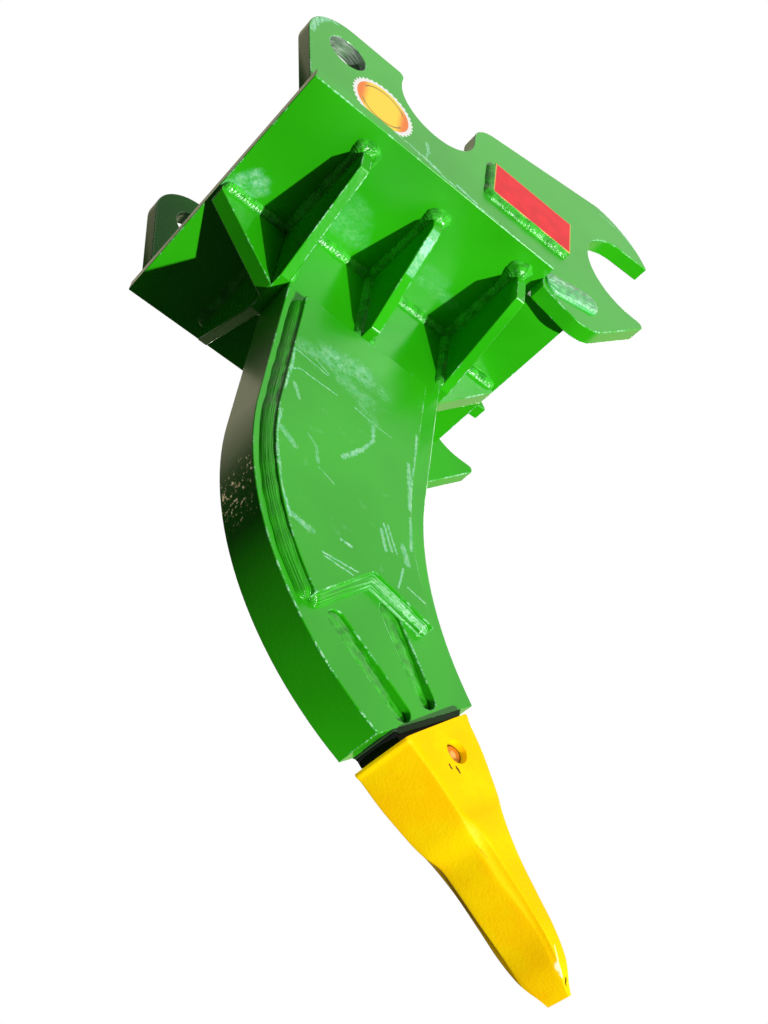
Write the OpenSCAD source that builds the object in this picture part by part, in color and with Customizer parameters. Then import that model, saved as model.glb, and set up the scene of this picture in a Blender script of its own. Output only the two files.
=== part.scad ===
// Single-shank ripper with a hook-on head and a pinned tooth.
// Drawn from the base plate: X forward from its rear edge, Y to the left, Z up from its underside.
// Each piece is then shifted so that the origin lies on the eye axis, midway between the ears.

/* [Base plate] */
// Width of the base plate
base_w = 425; // [410:1:450]
// Length of the base plate
base_l = 482; // [470:1:520]
// Thickness of the base plate
base_t = 20; // [14:1:26]

/* [Ears] */
// Distance over the outer faces of both ears
ear_span = 386; // [376:1:394]
// Thickness of each ear plate
ear_t = 25; // [18:1:30]
// Diameter of the eye bore
eye_d = 60; // [48:1:70]
// Width of the wall round the eye bore
eye_wall = 35; // [28:1:40]
// Eye centre ahead of the base plate's rear edge
eye_x = 43; // [36:1:50]
// Eye centre above the base plate's underside
eye_z = 163; // [150:1:170]
// Set-back of the ear's heel from the base plate's rear edge
heel_inset = 4; // [0:1:10]
// Radius of the corner ahead of the eye
land_r = 10; // [4:1:16]
// Radius of the saddle in the ear's top edge
saddle_r = 66; // [58:1:70]
// Saddle centre ahead of the base plate's rear edge
saddle_x = 200; // [194:1:206]
// Saddle centre above the base plate's underside
saddle_z = 202; // [192:1:206]
// Radius of the shoulder ahead of the saddle
shoulder_r = 42; // [30:1:50]
// Rise of the shoulder's centre above the saddle's centre
shoulder_rise = 22; // [14:1:30]
// Slope of the crown edge in degrees
crown_slope = 13.7; // [10:0.1:16]
// Radius of the crown's nose
crown_r = 119; // [114:1:124]
// Crown nose centre ahead of the base plate's rear edge
crown_x = 503; // [498:1:508]
// Crown nose centre above the base plate's underside
crown_z = 196; // [192:1:200]

/* [Hook jaws] */
// Radius of the hook slot
slot_r = 81; // [74:1:84]
// Slot centre ahead of the base plate's rear edge
slot_x = 568; // [562:1:576]
// Slot centre above the base plate's underside
slot_z = 165; // [160:1:168]
// Opening of the slot's upper edge towards its mouth, in degrees
slot_flare = 5; // [0:0.5:8]
// Radius of the lower jaw's belly
belly_r = 55; // [45:1:60]
// Belly centre ahead of the base plate's rear edge
belly_x = 472; // [465:1:480]
// Depth of the belly below the base plate's underside
belly_depth = 38; // [30:1:46]
// Rear end of the lower jaw ahead of the base plate's rear edge
jaw_heel_x = 404; // [398:1:410]
// Depth of the jaw at its rear end
jaw_heel_depth = 20; // [10:1:26]
// Radius of the lower jaw's tip
jaw_tip_r = 8; // [4:1:12]
// Reach of the lower jaw ahead of the base plate's rear edge
jaw_reach = 593; // [584:1:602]
// Room between the lower jaw and the base plate's notch
jaw_gap = 9; // [8:1:16]

/* [Shank] */
// Thickness of the shank plate
shank_t = 65; // [55:1:80]
// Back edge ahead of the base plate's rear edge
shank_back = 122; // [112:1:132]
// Front edge ahead of the base plate's rear edge
shank_front = 372; // [360:1:384]
// Radius of the back curve
back_r = 416; // [400:1:430]
// Depth at which the back curve starts
back_z = 374; // [360:1:385]
// Sweep of the back curve in degrees
back_sweep = 63; // [60:0.5:65]
// Radius of the front curve
front_r = 425; // [410:1:440]
// Depth at which the front curve starts
front_z = 357; // [345:1:370]
// Pitch of the lower end in degrees below level
end_pitch = 45.5; // [43:0.5:48]

/* [Cheek plates] */
// Thickness of each cheek plate
cheek_t = 16; // [8:1:22]
// Inset of the cheek from the shank's back edge
cheek_back_inset = 20; // [12:1:26]
// Inset of the cheek from the shank's front edge
cheek_front_inset = 32; // [20:1:40]
// Depth of the cheek's top edge
cheek_top = 162; // [155:1:175]
// Depth of the cheek's rear foot
cheek_heel = 632; // [620:1:640]
// Depth of the notch in the cheek's lower edge
cheek_notch = 547; // [535:1:560]
// Depth of the cheek's front foot
cheek_toe = 572; // [560:1:585]
// Set-back of the notch from the middle of the cheek's lower edge
cheek_notch_set = 10; // [0:1:20]

/* [Gussets and ribs] */
// Thickness of the cross and side gussets
gusset_t = 15; // [10:1:18]
// Reach of the rear cross gusset to each side
rear_gusset_reach = 179; // [165:1:184]
// Nose height of the rear cross gusset
rear_gusset_nose = 50; // [40:1:60]
// Depth of the rear cross gusset
rear_gusset_depth = 133; // [120:1:145]
// Reach of the front cross gusset to each side
front_gusset_reach = 179; // [165:1:184]
// Nose height of the front cross gusset
front_gusset_nose = 66; // [55:1:75]
// Depth of the front cross gusset
front_gusset_depth = 122; // [112:1:132]
// Rear face of the side gussets ahead of the base plate's rear edge
side_gusset_x = 236; // [220:1:250]
// Reach of each side gusset from the middle
side_gusset_reach = 166; // [150:1:178]
// Nose height of the side gussets
side_gusset_nose = 31; // [22:1:42]
// Depth of the side gussets
side_gusset_depth = 146; // [130:1:150]
// Length of the side gussets' flat foot
side_gusset_foot = 26; // [16:1:34]
// Thickness of the central ribs
rib_t = 25; // [16:1:32]
// Nose height of the central ribs
rib_nose = 12; // [6:1:20]
// Set-back of the rear rib from the base plate's rear edge
rear_rib_inset = 3; // [0:1:10]
// Set-back of the front rib from the base plate's front edge
front_rib_inset = 6; // [2:1:12]

/* [Plug welds and tang] */
// Upper end of the rear slot, out of the shank's end and towards its front edge
rear_plug_top = [-130, -55]; // [-140:1:-10]
// Lower end of the rear slot
rear_plug_low = [-16, -33]; // [-140:1:-10]
// Upper end of the front slot
front_plug_top = [-128, 31]; // [-140:1:40]
// Lower end of the front slot
front_plug_low = [-22, 15]; // [-140:1:40]
// Radius of each plug-weld slot
plug_r = 13; // [10:1:16]
// Depth of the weld metal below the shank's face
plug_recess = 5; // [2:1:8]
// Thickness of the tang inside the shank
tang_t = 30; // [24:1:36]
// Width of the tang
tang_w = 122; // [116:1:126]
// Length of the tang inside the shank
tang_l = 142; // [136:1:150]
// Room round the tang
tang_gap = 0.5; // [0.2:0.1:0.8]

/* [Tooth] */
// Length of the tooth
tooth_l = 300; // [280:1:320]
// Width of the tooth at its rear rim
tooth_w = 95; // [90:1:105]
// Height of the tooth at its rear rim
tooth_h = 106; // [100:1:112]
// Tilt of the tooth against the shank's end in degrees
tooth_tilt = 2.9; // [0:0.1:4]
// Gap from the shank's end to the tooth's rim, on the axis
tooth_gap = 13; // [10:1:18]
// Offset of the tooth's axis from the middle of the shank's end towards its back edge
nose_set = 3; // [0:1:8]
// Height of the nose's shoulder on the shank's end
shoulder_h = 108; // [100:1:112]
// Room between the nose's shoulder and the tooth's rim
seat_gap = 2; // [1:0.5:4]
// Width of the nose at the tooth's rim
nose_w = 68; // [62:1:72]
// Height of the nose at the tooth's rim
nose_h = 80; // [74:1:84]
// Width of the nose at its tip
nose_tip_w = 44; // [36:1:50]
// Height of the nose at its tip
nose_tip_h = 34; // [26:1:40]
// Length of the nose inside the tooth
nose_l = 112; // [100:1:118]
// Room between nose and socket
socket_gap = 0.6; // [0.3:0.1:0.9]

/* [Tooth pin] */
// Diameter of the pin
pin_d = 22; // [18:0.5:24]
// Length of the pin
pin_l = 74; // [70:0.5:80]
// Diameter of the hole in the tooth's sides
pin_hole_d = 28; // [26:0.5:32]
// Pin axis ahead of the tooth's rim
pin_u = 33; // [28:1:40]
// Pin axis above the tooth's middle
pin_v = 5; // [0:1:8]
// Room round the pin in the nose and the retainer
pin_gap = 0.3; // [0.2:0.1:0.6]
// Outer diameter of the retainer ring
ring_d = 36; // [32:0.5:40]
// Thickness of the retainer ring
ring_t = 6; // [4:0.5:8]
// Depth of the ring's face below the nose's side
ring_inset = 2; // [0.5:0.5:3]

/* [Nameplate] */
// Length of the nameplate
plate_l = 144; // [120:1:160]
// Height of the nameplate
plate_h = 80; // [60:1:84]
// Thickness of the nameplate
plate_t = 9; // [6:1:14]
// Rear end of the nameplate ahead of the base plate's rear edge
plate_x = 300; // [292:1:310]
// Lower edge of the nameplate above the base plate's underside
plate_z = 96; // [85:1:105]

/* [Welds] */
// Leg of the fillet welds on the head
weld_leg = 9; // [5:0.5:12]
// Leg of the fillet welds round the cheek plates
cheek_weld_leg = 11; // [6:0.5:14]
// Leg of the weld round the nose's root
nose_weld_leg = 7; // [4:0.5:9]
// Leg of the welds round the nameplate
plate_weld_leg = 8; // [4:0.5:9]
// Radius of the weld pads on the lower jaws
pad_r = 20; // [14:1:22]
// Height of the weld pads on the lower jaws
pad_h = 6; // [2:0.5:8]
// Gap from the lower jaw's rear end to its weld pad
pad_gap = 8; // [2:1:14]
// Rear end of the pad's middle line above the base plate's underside
pad_rear_z = 6; // [4:1:10]
// Reach of the pad's middle line ahead of the belly's centre
pad_reach = 6; // [0:1:14]
// Front end of the pad's middle line above the base plate's underside
pad_front_z = 20; // [14:1:26]

/* [Hidden] */
$fn = 96;
big = 2000;
sides = [-1, 1];

ear_y = (ear_span - ear_t) / 2;
ear_inner = ear_span / 2 - ear_t;
eye = [eye_x, eye_z];
boss_r = eye_d / 2 + eye_wall;
ear_top = eye_z + boss_r;
// Depth by which a straight edge runs into a round one
lap = 0.04;
// Share of the crown edge that ends on the ear's body
brow_share = 0.95;

heel = [heel_inset, base_t];
land_x = saddle_x - saddle_r;
shoulder_x = saddle_x + saddle_r;
shoulder = [shoulder_x + shoulder_r, saddle_z + shoulder_rise];
crown = [crown_x, crown_z];
slot = [slot_x, slot_z];
slot_floor = slot_z - slot_r;
belly = [belly_x, belly_r - belly_depth];
jaw_tip = [jaw_reach - jaw_tip_r, slot_floor - jaw_tip_r];
land = [land_x - land_r, ear_top - land_r];
ridge = shoulder + shoulder_r * aim(90 + crown_slope);
peak = line_exit(ridge, crown_slope, crown, crown_r);
brow = ridge + brow_share * (peak - ridge);

front_gusset_x = shank_front;
rear_gusset_x = shank_back - gusset_t;
front_gusset_face = front_gusset_x + gusset_t;

back_c = [shank_back + back_r, -back_z];
front_c = [shank_front + front_r, -front_z];
end_heel = back_c + back_r * aim(180 + back_sweep);
end_toe = end_corner();
end_mid = (end_heel + end_toe) / 2;
end_depth = norm(end_toe - end_heel);
cheek_y = shank_t / 2;
cheek_back_r = back_r - cheek_back_inset;
cheek_front_r = front_r + cheek_front_inset;

tooth_pitch = end_pitch - tooth_tilt;
rim = end_mid + tooth_gap * aim(-end_pitch) - nose_set * aim(90 - end_pitch);
// Reach of a root or cut past the face that it meets
nose_clear = 8;
// Step from the shank's face in to the nose's root
root_step = 1;
root_w = min(shank_t, nose_w) - 2 * root_step;
pin_side = nose_w / 2 - (nose_w - nose_tip_w) / 2 * pin_u / nose_l;

green = [0.13, 0.55, 0.13];
weld_green = [0.25, 0.65, 0.35];
yellow = [1.0, 0.80, 0.0];

// Unit vector at an angle
function aim(a) = [cos(a), sin(a)];

// Angle of a vector
function heading(v) = atan2(v[1], v[0]);

// Normal direction of the tangent that runs along the right of two circles
function tangent_aim(c1, r1, c2, r2) =
    aim(heading(c2 - c1) - acos((r1 - r2) / norm(c2 - c1)));

// Where the line from p at angle a leaves a circle
function line_exit(p, a, c, r) =
    let (w = p - c, b = w * aim(a))
    p + (sqrt(b * b - w * w + r * r) - b) * aim(a);

// Where the line from p at angle a enters a circle
function line_entry(p, a, c, r) =
    let (w = p - c, b = w * aim(a))
    p + (-sqrt(b * b - w * w + r * r) - b) * aim(a);

// Point where a straight edge from p just touches the rear of a circle
function touch_point(p, c, r) =
    let (d = norm(c - p))
    p + sqrt(d * d - r * r) * aim(heading(c - p) + asin(r / d));

// Corner where the shank's end face meets its front curve
function end_corner() = line_entry(end_heel, 90 - end_pitch, front_c, front_r);

// Frames and plates

module place() {
    translate([-eye_x, 0, -eye_z])
        children();
}

// Plate across Y whose outline is drawn in X and Z
module slab(t, y = 0) {
    translate([0, y + t / 2, 0])
        rotate([90, 0, 0])
            linear_extrude(t)
                children();
}

// Plate across X whose outline is drawn in Y and Z
module cross_plate(x, t) {
    translate([x, 0, 0])
        rotate([90, 0, 90])
            linear_extrude(t)
                children();
}

// Disc across Y, centred on a point in X and Z
module round_boss(c, r, t, y) {
    translate([c[0], y, c[1]])
        rotate([90, 0, 0])
            cylinder(h = t, r = r, center = true);
}

// Frame of the shank's end: X out of the end, Z towards the front edge
module in_end() {
    translate([end_mid[0], 0, end_mid[1]])
        rotate([0, end_pitch, 0])
            children();
}

// Frame of the tooth: X from its rim to its tip
module in_tooth() {
    translate([rim[0], 0, rim[1]])
        rotate([0, tooth_pitch, 0])
            children();
}

// Four-sided block that tapers along X between two sections of width and height
module taper(x0, w0, h0, x1, w1, h1) {
    skin = 0.01;
    hull() {
        translate([x0, -w0 / 2, -h0 / 2])
            cube([skin, w0, h0]);
        translate([x1 - skin, -w1 / 2, -h1 / 2])
            cube([skin, w1, h1]);
    }
}

// Welds

// Fillet along X under the base plate, against a plate face at y
module weld_x(x0, x1, y, side, leg) {
    translate([x0, y, 0])
        rotate([90, 0, 90])
            linear_extrude(x1 - x0)
                polygon([[0, 0], [side * leg, 0], [0, -leg]]);
}

// Fillet along Y under the base plate, against a plate face at x
module weld_y(y0, y1, x, side, leg) {
    translate([x, y1, 0])
        rotate([90, 0, 0])
            linear_extrude(y1 - y0)
                polygon([[0, 0], [side * leg, 0], [0, -leg]]);
}

// Upright fillet between a plate face at x and a plate face at y
module weld_z(z0, z1, x, side_x, y, side_y, leg) {
    translate([x, y, z0])
        linear_extrude(z1 - z0)
            polygon([[0, 0], [side_x * leg, 0], [0, side_y * leg]]);
}

// Fillet on a plate face at y, along the line from p to q, on its left
module face_weld(p, q, y, side, leg) {
    translate([p[0], y, p[1]])
        rotate([0, -heading(q - p), 0])
            rotate([90, 0, 90])
                linear_extrude(norm(q - p))
                    polygon([[0, 0], [side * leg, 0], [0, leg]]);
}

// Base plate with a notch at each front corner for the lower jaw
module base_plate() {
    notch_x = jaw_heel_x - jaw_gap;
    notch_y = ear_inner - jaw_gap;
    color(green) place()
        difference() {
            translate([0, -base_w / 2, 0])
                cube([base_l, base_w, base_t]);
            for (s = sides)
                translate([notch_x, s > 0 ? notch_y : -notch_y - big, -base_t])
                    cube([big, big, 3 * base_t]);
        }
}

// Ears

// Outline of an ear with its round stretches left square
module ear_body() {
    heel_touch = touch_point(heel, eye, boss_r - lap);
    chin = tangent_aim(belly, belly_r, jaw_tip, jaw_tip_r);
    keel = tangent_aim([jaw_heel_x, -jaw_heel_depth], 0, belly, belly_r);
    polygon([heel, heel_touch, eye, [eye_x, ear_top], [land[0], ear_top], land, [land_x, land[1]],
        [land_x, saddle_z], [shoulder_x, saddle_z], [shoulder_x, shoulder[1]], shoulder, ridge, brow,
        crown, slot, [slot_x, slot_floor], [jaw_tip[0], slot_floor], jaw_tip,
        jaw_tip + jaw_tip_r * chin, belly + belly_r * chin, belly, belly + belly_r * keel,
        [jaw_heel_x, -jaw_heel_depth], [jaw_heel_x, base_t]]);
}

// Rounded nose of the upper jaw
module crown_nose() {
    reach = 2 * crown_r;
    inner = crown - slot_r / 2 * aim(0);
    intersection() {
        translate(crown)
            circle(crown_r);
        polygon([inner, brow, brow + reach * aim(crown_slope), crown + reach * aim(0)]);
    }
}

module hook_slot() {
    rise = (big - slot_x) * tan(slot_flare);
    polygon([[slot_x, slot_floor], [big, slot_floor], [big, slot_z + slot_r + rise],
        [slot_x, slot_z + slot_r]]);
}

module ear(side) {
    y = side * ear_y;
    cut = 2 * ear_t;
    color(green) place()
        difference() {
            union() {
                slab(ear_t, y)
                    ear_body();
                slab(ear_t, y)
                    crown_nose();
                round_boss(eye, boss_r, ear_t, y);
                round_boss(land, land_r, ear_t, y);
                round_boss(shoulder, shoulder_r, ear_t, y);
                round_boss(belly, belly_r, ear_t, y);
                round_boss(jaw_tip, jaw_tip_r, ear_t, y);
            }
            round_boss([saddle_x, saddle_z], saddle_r, cut, y);
            slab(cut, y)
                hook_slot();
            round_boss(slot, slot_r, cut, y);
            round_boss(eye, eye_d / 2, cut, y);
        }
}

module right_ear() {
    ear(-1);
}

module left_ear() {
    ear(1);
}

// Shank

module end_trim(inset = 0) {
    translate(end_heel)
        rotate(-end_pitch)
            translate([-big - inset, -big])
                square([big, 2 * big]);
}

module shank_outline() {
    polygon([[shank_back, 0], [shank_back, -back_z], [shank_front, -front_z], [shank_front, 0]]);
    difference() {
        intersection() {
            translate(back_c)
                circle(back_r);
            polygon([[shank_back, -back_z], [shank_front, -front_z], [big, -front_z], [big, -big],
                [shank_back, -big]]);
            end_trim();
        }
        translate(front_c)
            circle(front_r);
    }
}

// Outline of a plug-weld slot between two points
module plug_outline(p, q, r) {
    n = (r - lap) * aim(heading(q - p) + 90);
    translate(p)
        circle(r);
    translate(q)
        circle(r);
    polygon([p + n, p - n, q - n, q + n]);
}

// Two slots in the shank's lower end, one along each curve
module plug_pair(r) {
    translate(end_mid)
        rotate(-end_pitch) {
            plug_outline(rear_plug_top, rear_plug_low, r);
            plug_outline(front_plug_top, front_plug_low, r);
        }
}

module tang_block(grow) {
    in_end()
        translate([-tang_l - grow, -tang_t / 2 - grow, -tang_w / 2 - grow])
            cube([tang_l + grow, tang_t + 2 * grow, tang_w + 2 * grow]);
}

module shank() {
    color(green) place()
        difference() {
            slab(shank_t)
                shank_outline();
            slab(2 * shank_t)
                plug_pair(plug_r);
            tang_block(tang_gap);
        }
}

// Cheek plates

function cheek_back_x(z) = back_c[0] - sqrt(cheek_back_r * cheek_back_r - pow(z - back_c[1], 2));
function cheek_front_x(z) = front_c[0] - sqrt(cheek_front_r * cheek_front_r - pow(z - front_c[1], 2));

cheek_left = shank_back + cheek_back_inset;
cheek_right = shank_front - cheek_front_inset;
cheek_heel_p = [cheek_back_x(-cheek_heel), -cheek_heel];
cheek_toe_p = [cheek_front_x(-cheek_toe), -cheek_toe];
cheek_notch_p = [(cheek_heel_p[0] + cheek_toe_p[0]) / 2 - cheek_notch_set, -cheek_notch];
// Lower edge drawn a little way past the front curve, which then cuts it
toe_run = 1.1;
cheek_toe_end = cheek_notch_p + toe_run * (cheek_toe_p - cheek_notch_p);

module cheek_outline() {
    polygon([[cheek_left, -cheek_top], [cheek_left, -back_z], [cheek_right, -front_z],
        [cheek_right, -cheek_top]]);
    difference() {
        intersection() {
            translate(back_c)
                circle(cheek_back_r);
            polygon([[cheek_left, -back_z], [cheek_right, -front_z], [big, -front_z],
                cheek_toe_end + [big, 0], cheek_toe_end, cheek_notch_p, cheek_heel_p,
                cheek_heel_p - [big, 0]]);
        }
        translate(front_c)
            circle(cheek_front_r);
    }
}

module cheek_plate(side) {
    color(green) place()
        slab(cheek_t, side * (cheek_y + cheek_t / 2))
            cheek_outline();
}

module right_cheek_plate() {
    cheek_plate(-1);
}

module left_cheek_plate() {
    cheek_plate(1);
}

// Gussets and ribs

module cross_gusset(x, reach, nose, depth) {
    foot = shank_t / 2;
    color(green) place()
        cross_plate(x, gusset_t)
            polygon([[-reach, 0], [-reach, -nose], [-foot, -depth], [foot, -depth], [reach, -nose],
                [reach, 0]]);
}

module rear_cross_gusset() {
    cross_gusset(rear_gusset_x, rear_gusset_reach, rear_gusset_nose, rear_gusset_depth);
}

module front_cross_gusset() {
    cross_gusset(front_gusset_x, front_gusset_reach, front_gusset_nose, front_gusset_depth);
}

module side_gusset(side) {
    wall = shank_t / 2;
    color(green) place()
        cross_plate(side_gusset_x, gusset_t)
            polygon([[side * wall, 0], [side * side_gusset_reach, 0],
                [side * side_gusset_reach, -side_gusset_nose],
                [side * (wall + side_gusset_foot), -side_gusset_depth],
                [side * wall, -side_gusset_depth]]);
}

module right_side_gusset() {
    side_gusset(-1);
}

module left_side_gusset() {
    side_gusset(1);
}

module rear_rib() {
    color(green) place()
        slab(rib_t)
            polygon([[rear_rib_inset, 0], [rear_rib_inset, -rib_nose],
                [rear_gusset_x, -rear_gusset_depth], [rear_gusset_x, 0]]);
}

module front_rib() {
    front = base_l - front_rib_inset;
    color(green) place()
        slab(rib_t)
            polygon([[front_gusset_face, 0], [front_gusset_face, -front_gusset_depth],
                [front, -rib_nose], [front, 0]]);
}

// Nose and tooth

module nose_taper(grow, root) {
    taper(root, nose_w + 2 * grow, nose_h + 2 * grow, nose_l + grow, nose_tip_w + 2 * grow,
        nose_tip_h + 2 * grow);
}

// Root of the nose: a shoulder from inside the shank's end, and a neck to just inside the socket
module nose_root() {
    in_tooth() {
        taper(-2 * tooth_gap, root_w, shoulder_h, -seat_gap, root_w, shoulder_h);
        taper(-nose_clear, root_w, nose_h, socket_gap, root_w, nose_h);
    }
}

module pin_axis() {
    in_tooth()
        translate([pin_u, 0, pin_v])
            rotate([90, 0, 0])
                children();
}

// Seat of the retainer ring in the nose's right side
module ring_seat(grow) {
    pin_axis()
        translate([0, 0, pin_side - ring_inset - ring_t - grow])
            cylinder(h = ring_t + ring_inset + nose_clear, d = ring_d + 2 * grow);
}

module nose_adapter() {
    color([0.06, 0.05, 0.05]) place()
        difference() {
            union() {
                tang_block(0);
                intersection() {
                    in_end()
                        translate([0, -base_w / 2, -end_depth / 2])
                            cube([tooth_gap + nose_clear, base_w, end_depth]);
                    nose_root();
                }
                in_tooth()
                    nose_taper(0, 0);
            }
            pin_axis()
                cylinder(h = big, d = pin_d + 2 * pin_gap, center = true);
            ring_seat(pin_gap);
        }
}

// Sections of the cast tooth, as shares of its length, half width and half height:
// place, width, edge height, crest width, crest height and hollow of the flank
tooth_sections = [
    [0, 0.985, 0.82, 0.84, 1, 0],
    [0.025, 0.98, 0.8, 0.82, 0.98, 0],
    [0.15, 0.9, 0.68, 0.74, 0.86, 0],
    [0.28, 0.82, 0.52, 0.66, 0.72, 0.2],
    [0.35, 0.82, 0.41, 0.63, 0.67, 0.5],
    [0.43, 0.83, 0.31, 0.61, 0.61, 0.8],
    [0.53, 0.81, 0.22, 0.59, 0.54, 0.9],
    [0.66, 0.8, 0.16, 0.56, 0.42, 0.9],
    [0.78, 0.78, 0.13, 0.52, 0.3, 0.9],
    [0.885, 0.67, 0.09, 0.45, 0.17, 0.8],
    [0.965, 0.46, 0.05, 0.34, 0.085, 0.4],
    [1, 0.33, 0.03, 0.26, 0.045, 0]];
crest_crown = 1.03;
// Shares that place the bend of a hollow flank, across and down
bend_across = 0.3;
bend_down = 0.12;
tooth_steps = 3;
flank_steps = 4;

// Smooth value between four neighbours
function ease(a, b, c, d, t) =
    b + 0.5 * t * (c - a + t * (2 * a - 5 * b + 4 * c - d + t * (3 * (b - c) + d - a)));

function section_at(i, t) =
    let (last = len(tooth_sections) - 1)
    ease(tooth_sections[max(i - 1, 0)], tooth_sections[i], tooth_sections[min(i + 1, last)],
        tooth_sections[min(i + 2, last)], t);

// Points of one quarter of a section, from the crest's middle to the edge's middle
function quarter(s) =
    let (b = s[1], e = s[2], c = s[3], h = s[4], k = s[5],
        bend = [b + k * (c + bend_across * (b - c) - b), h + k * (e + bend_down * (h - e) - h)])
    concat([[0, h * crest_crown]],
        [for (i = [0 : flank_steps])
            let (t = i / flank_steps)
            (1 - t) * (1 - t) * [c, h] + 2 * t * (1 - t) * bend + t * t * [b, e]]);

// Closed ring of a section, in Y and Z
function ring_of(s) =
    let (q = quarter(s), n = len(q) - 1)
    concat(q, [for (i = [n : -1 : 0]) [q[i][0], -q[i][1]]],
        [for (i = [1 : n]) [-q[i][0], -q[i][1]]], [for (i = [n : -1 : 1]) [-q[i][0], q[i][1]]]);

tooth_rings = [for (i = [0 : len(tooth_sections) - 2], j = [0 : tooth_steps - 1])
    section_at(i, j / tooth_steps)];
tooth_loft = concat(tooth_rings, [tooth_sections[len(tooth_sections) - 1]]);

module tooth_body() {
    count = len(tooth_loft);
    around = len(ring_of(tooth_loft[0]));
    points = [for (s = tooth_loft) for (p = ring_of(s))
        [s[0] * tooth_l, p[0] * tooth_w / 2, p[1] * tooth_h / 2]];
    walls = [for (i = [0 : count - 2], j = [0 : around - 1])
        let (a = i * around + j, b = i * around + (j + 1) % around)
        each [[a, b, b + around], [a, b + around, a + around]]];
    rear = [for (j = [around - 1 : -1 : 0]) j];
    front = [for (j = [0 : around - 1]) (count - 1) * around + j];
    polyhedron(points, concat([rear], walls, [front]));
}

module tooth() {
    color(yellow) place()
        difference() {
            in_tooth()
                tooth_body();
            in_tooth()
                nose_taper(socket_gap, -socket_gap);
            pin_axis()
                cylinder(h = big, d = pin_hole_d, center = true);
        }
}

module tooth_pin() {
    color([0.85, 0.55, 0.15]) place()
        pin_axis()
            cylinder(h = pin_l, d = pin_d, center = true);
}

module pin_retainer() {
    color([0.15, 0.13, 0.12]) place()
        pin_axis()
            translate([0, 0, pin_side - ring_inset - ring_t])
                difference() {
                    cylinder(h = ring_t, d = ring_d);
                    cylinder(h = big, d = pin_d + 2 * pin_gap, center = true);
                }
}

module nameplate() {
    color([0.9, 0.12, 0.16]) place()
        translate([plate_x, -ear_span / 2 - plate_t, plate_z])
            cube([plate_l, plate_t, plate_h]);
}

// Weld groups

module ear_welds() {
    run = jaw_heel_x - jaw_gap - heel_inset;
    color(weld_green) place()
        for (s = sides) {
            translate([heel_inset, s * ear_inner, base_t])
                rotate([90, 0, 90])
                    linear_extrude(run)
                        polygon([[0, 0], [-s * weld_leg, 0], [0, weld_leg]]);
            translate([heel_inset, s * ear_span / 2, base_t])
                rotate([90, 0, 90])
                    linear_extrude(run)
                        polygon([[0, 0], [s * weld_leg, 0], [0, weld_leg]]);
        }
}

// Fillet on one side of the middle, along a gusset's face at x, from y0 out to y1
module gusset_run(s, y0, y1, x, side) {
    span = s > 0 ? [y0, y1] : [-y1, -y0];
    weld_y(span[0], span[1], x, side, weld_leg);
}

module base_welds() {
    wall = shank_t / 2;
    rib = rib_t / 2;
    wrap = weld_leg / 2;
    side_front = side_gusset_x + gusset_t;
    notch_y = ear_inner - jaw_gap;
    color(weld_green) place()
        for (s = sides) {
            weld_x(shank_back, side_gusset_x, s * wall, s, weld_leg);
            weld_x(side_front, shank_front, s * wall, s, weld_leg);
            weld_x(rear_rib_inset, rear_gusset_x, s * rib, s, weld_leg);
            weld_x(front_gusset_face, base_l - front_rib_inset, s * rib, s, weld_leg);
            gusset_run(s, rib, rear_gusset_reach + wrap, rear_gusset_x, -1);
            gusset_run(s, wall, rear_gusset_reach + wrap, shank_back, 1);
            gusset_run(s, wall, side_gusset_reach + wrap, side_gusset_x, -1);
            gusset_run(s, wall, side_gusset_reach + wrap, side_front, 1);
            gusset_run(s, wall, front_gusset_reach + wrap, front_gusset_x, -1);
            gusset_run(s, rib, notch_y, front_gusset_face, 1);
            weld_x(rear_gusset_x, shank_back, s * rear_gusset_reach, s, weld_leg);
            weld_x(side_gusset_x, side_front, s * side_gusset_reach, s, weld_leg);
            weld_x(front_gusset_x, front_gusset_face, s * front_gusset_reach, s, weld_leg);
        }
}

module gusset_welds() {
    wall = shank_t / 2;
    side_front = side_gusset_x + gusset_t;
    color(weld_green) place()
        for (s = sides) {
            weld_z(-rear_gusset_depth, -weld_leg, shank_back, 1, s * wall, s, weld_leg);
            weld_z(-side_gusset_depth, -weld_leg, side_gusset_x, -1, s * wall, s, weld_leg);
            weld_z(-side_gusset_depth, -weld_leg, side_front, 1, s * wall, s, weld_leg);
            weld_z(-front_gusset_depth, -weld_leg, front_gusset_x, -1, s * wall, s, weld_leg);
        }
}

module cheek_weld(side) {
    y = side * cheek_y;
    leg = cheek_weld_leg;
    sweep = heading(back_c - cheek_heel_p);
    color(weld_green) place() {
        face_weld([cheek_left, -back_z], [cheek_left, -cheek_top], y, side, leg);
        translate([back_c[0], y, back_c[1]])
            rotate([90, 0, 0])
                rotate([0, 0, 180])
                    rotate_extrude(angle = sweep)
                        polygon([[cheek_back_r, 0], [cheek_back_r + leg, 0],
                            [cheek_back_r, -side * leg]]);
        face_weld(cheek_notch_p, cheek_heel_p, y, side, leg);
        face_weld(cheek_toe_p, cheek_notch_p, y, side, leg);
    }
}

module right_cheek_weld() {
    cheek_weld(-1);
}

module left_cheek_weld() {
    cheek_weld(1);
}

// Weld metal in the plug slots, from the tang to just below the shank's face
module plug_welds() {
    inner = tang_t / 2;
    outer = shank_t / 2 - plug_recess;
    color(weld_green) place()
        for (s = sides)
            slab(outer - inner, s * (inner + outer) / 2)
                plug_pair(plug_r - pin_gap);
}

// Fillet round the nose's root, on the shank's end face
module nose_weld() {
    color(weld_green) place()
        difference() {
            in_end()
                taper(0, shank_t, shoulder_h + 2 * nose_weld_leg, nose_weld_leg, root_w + root_step,
                    shoulder_h);
            nose_root();
        }
}

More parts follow.
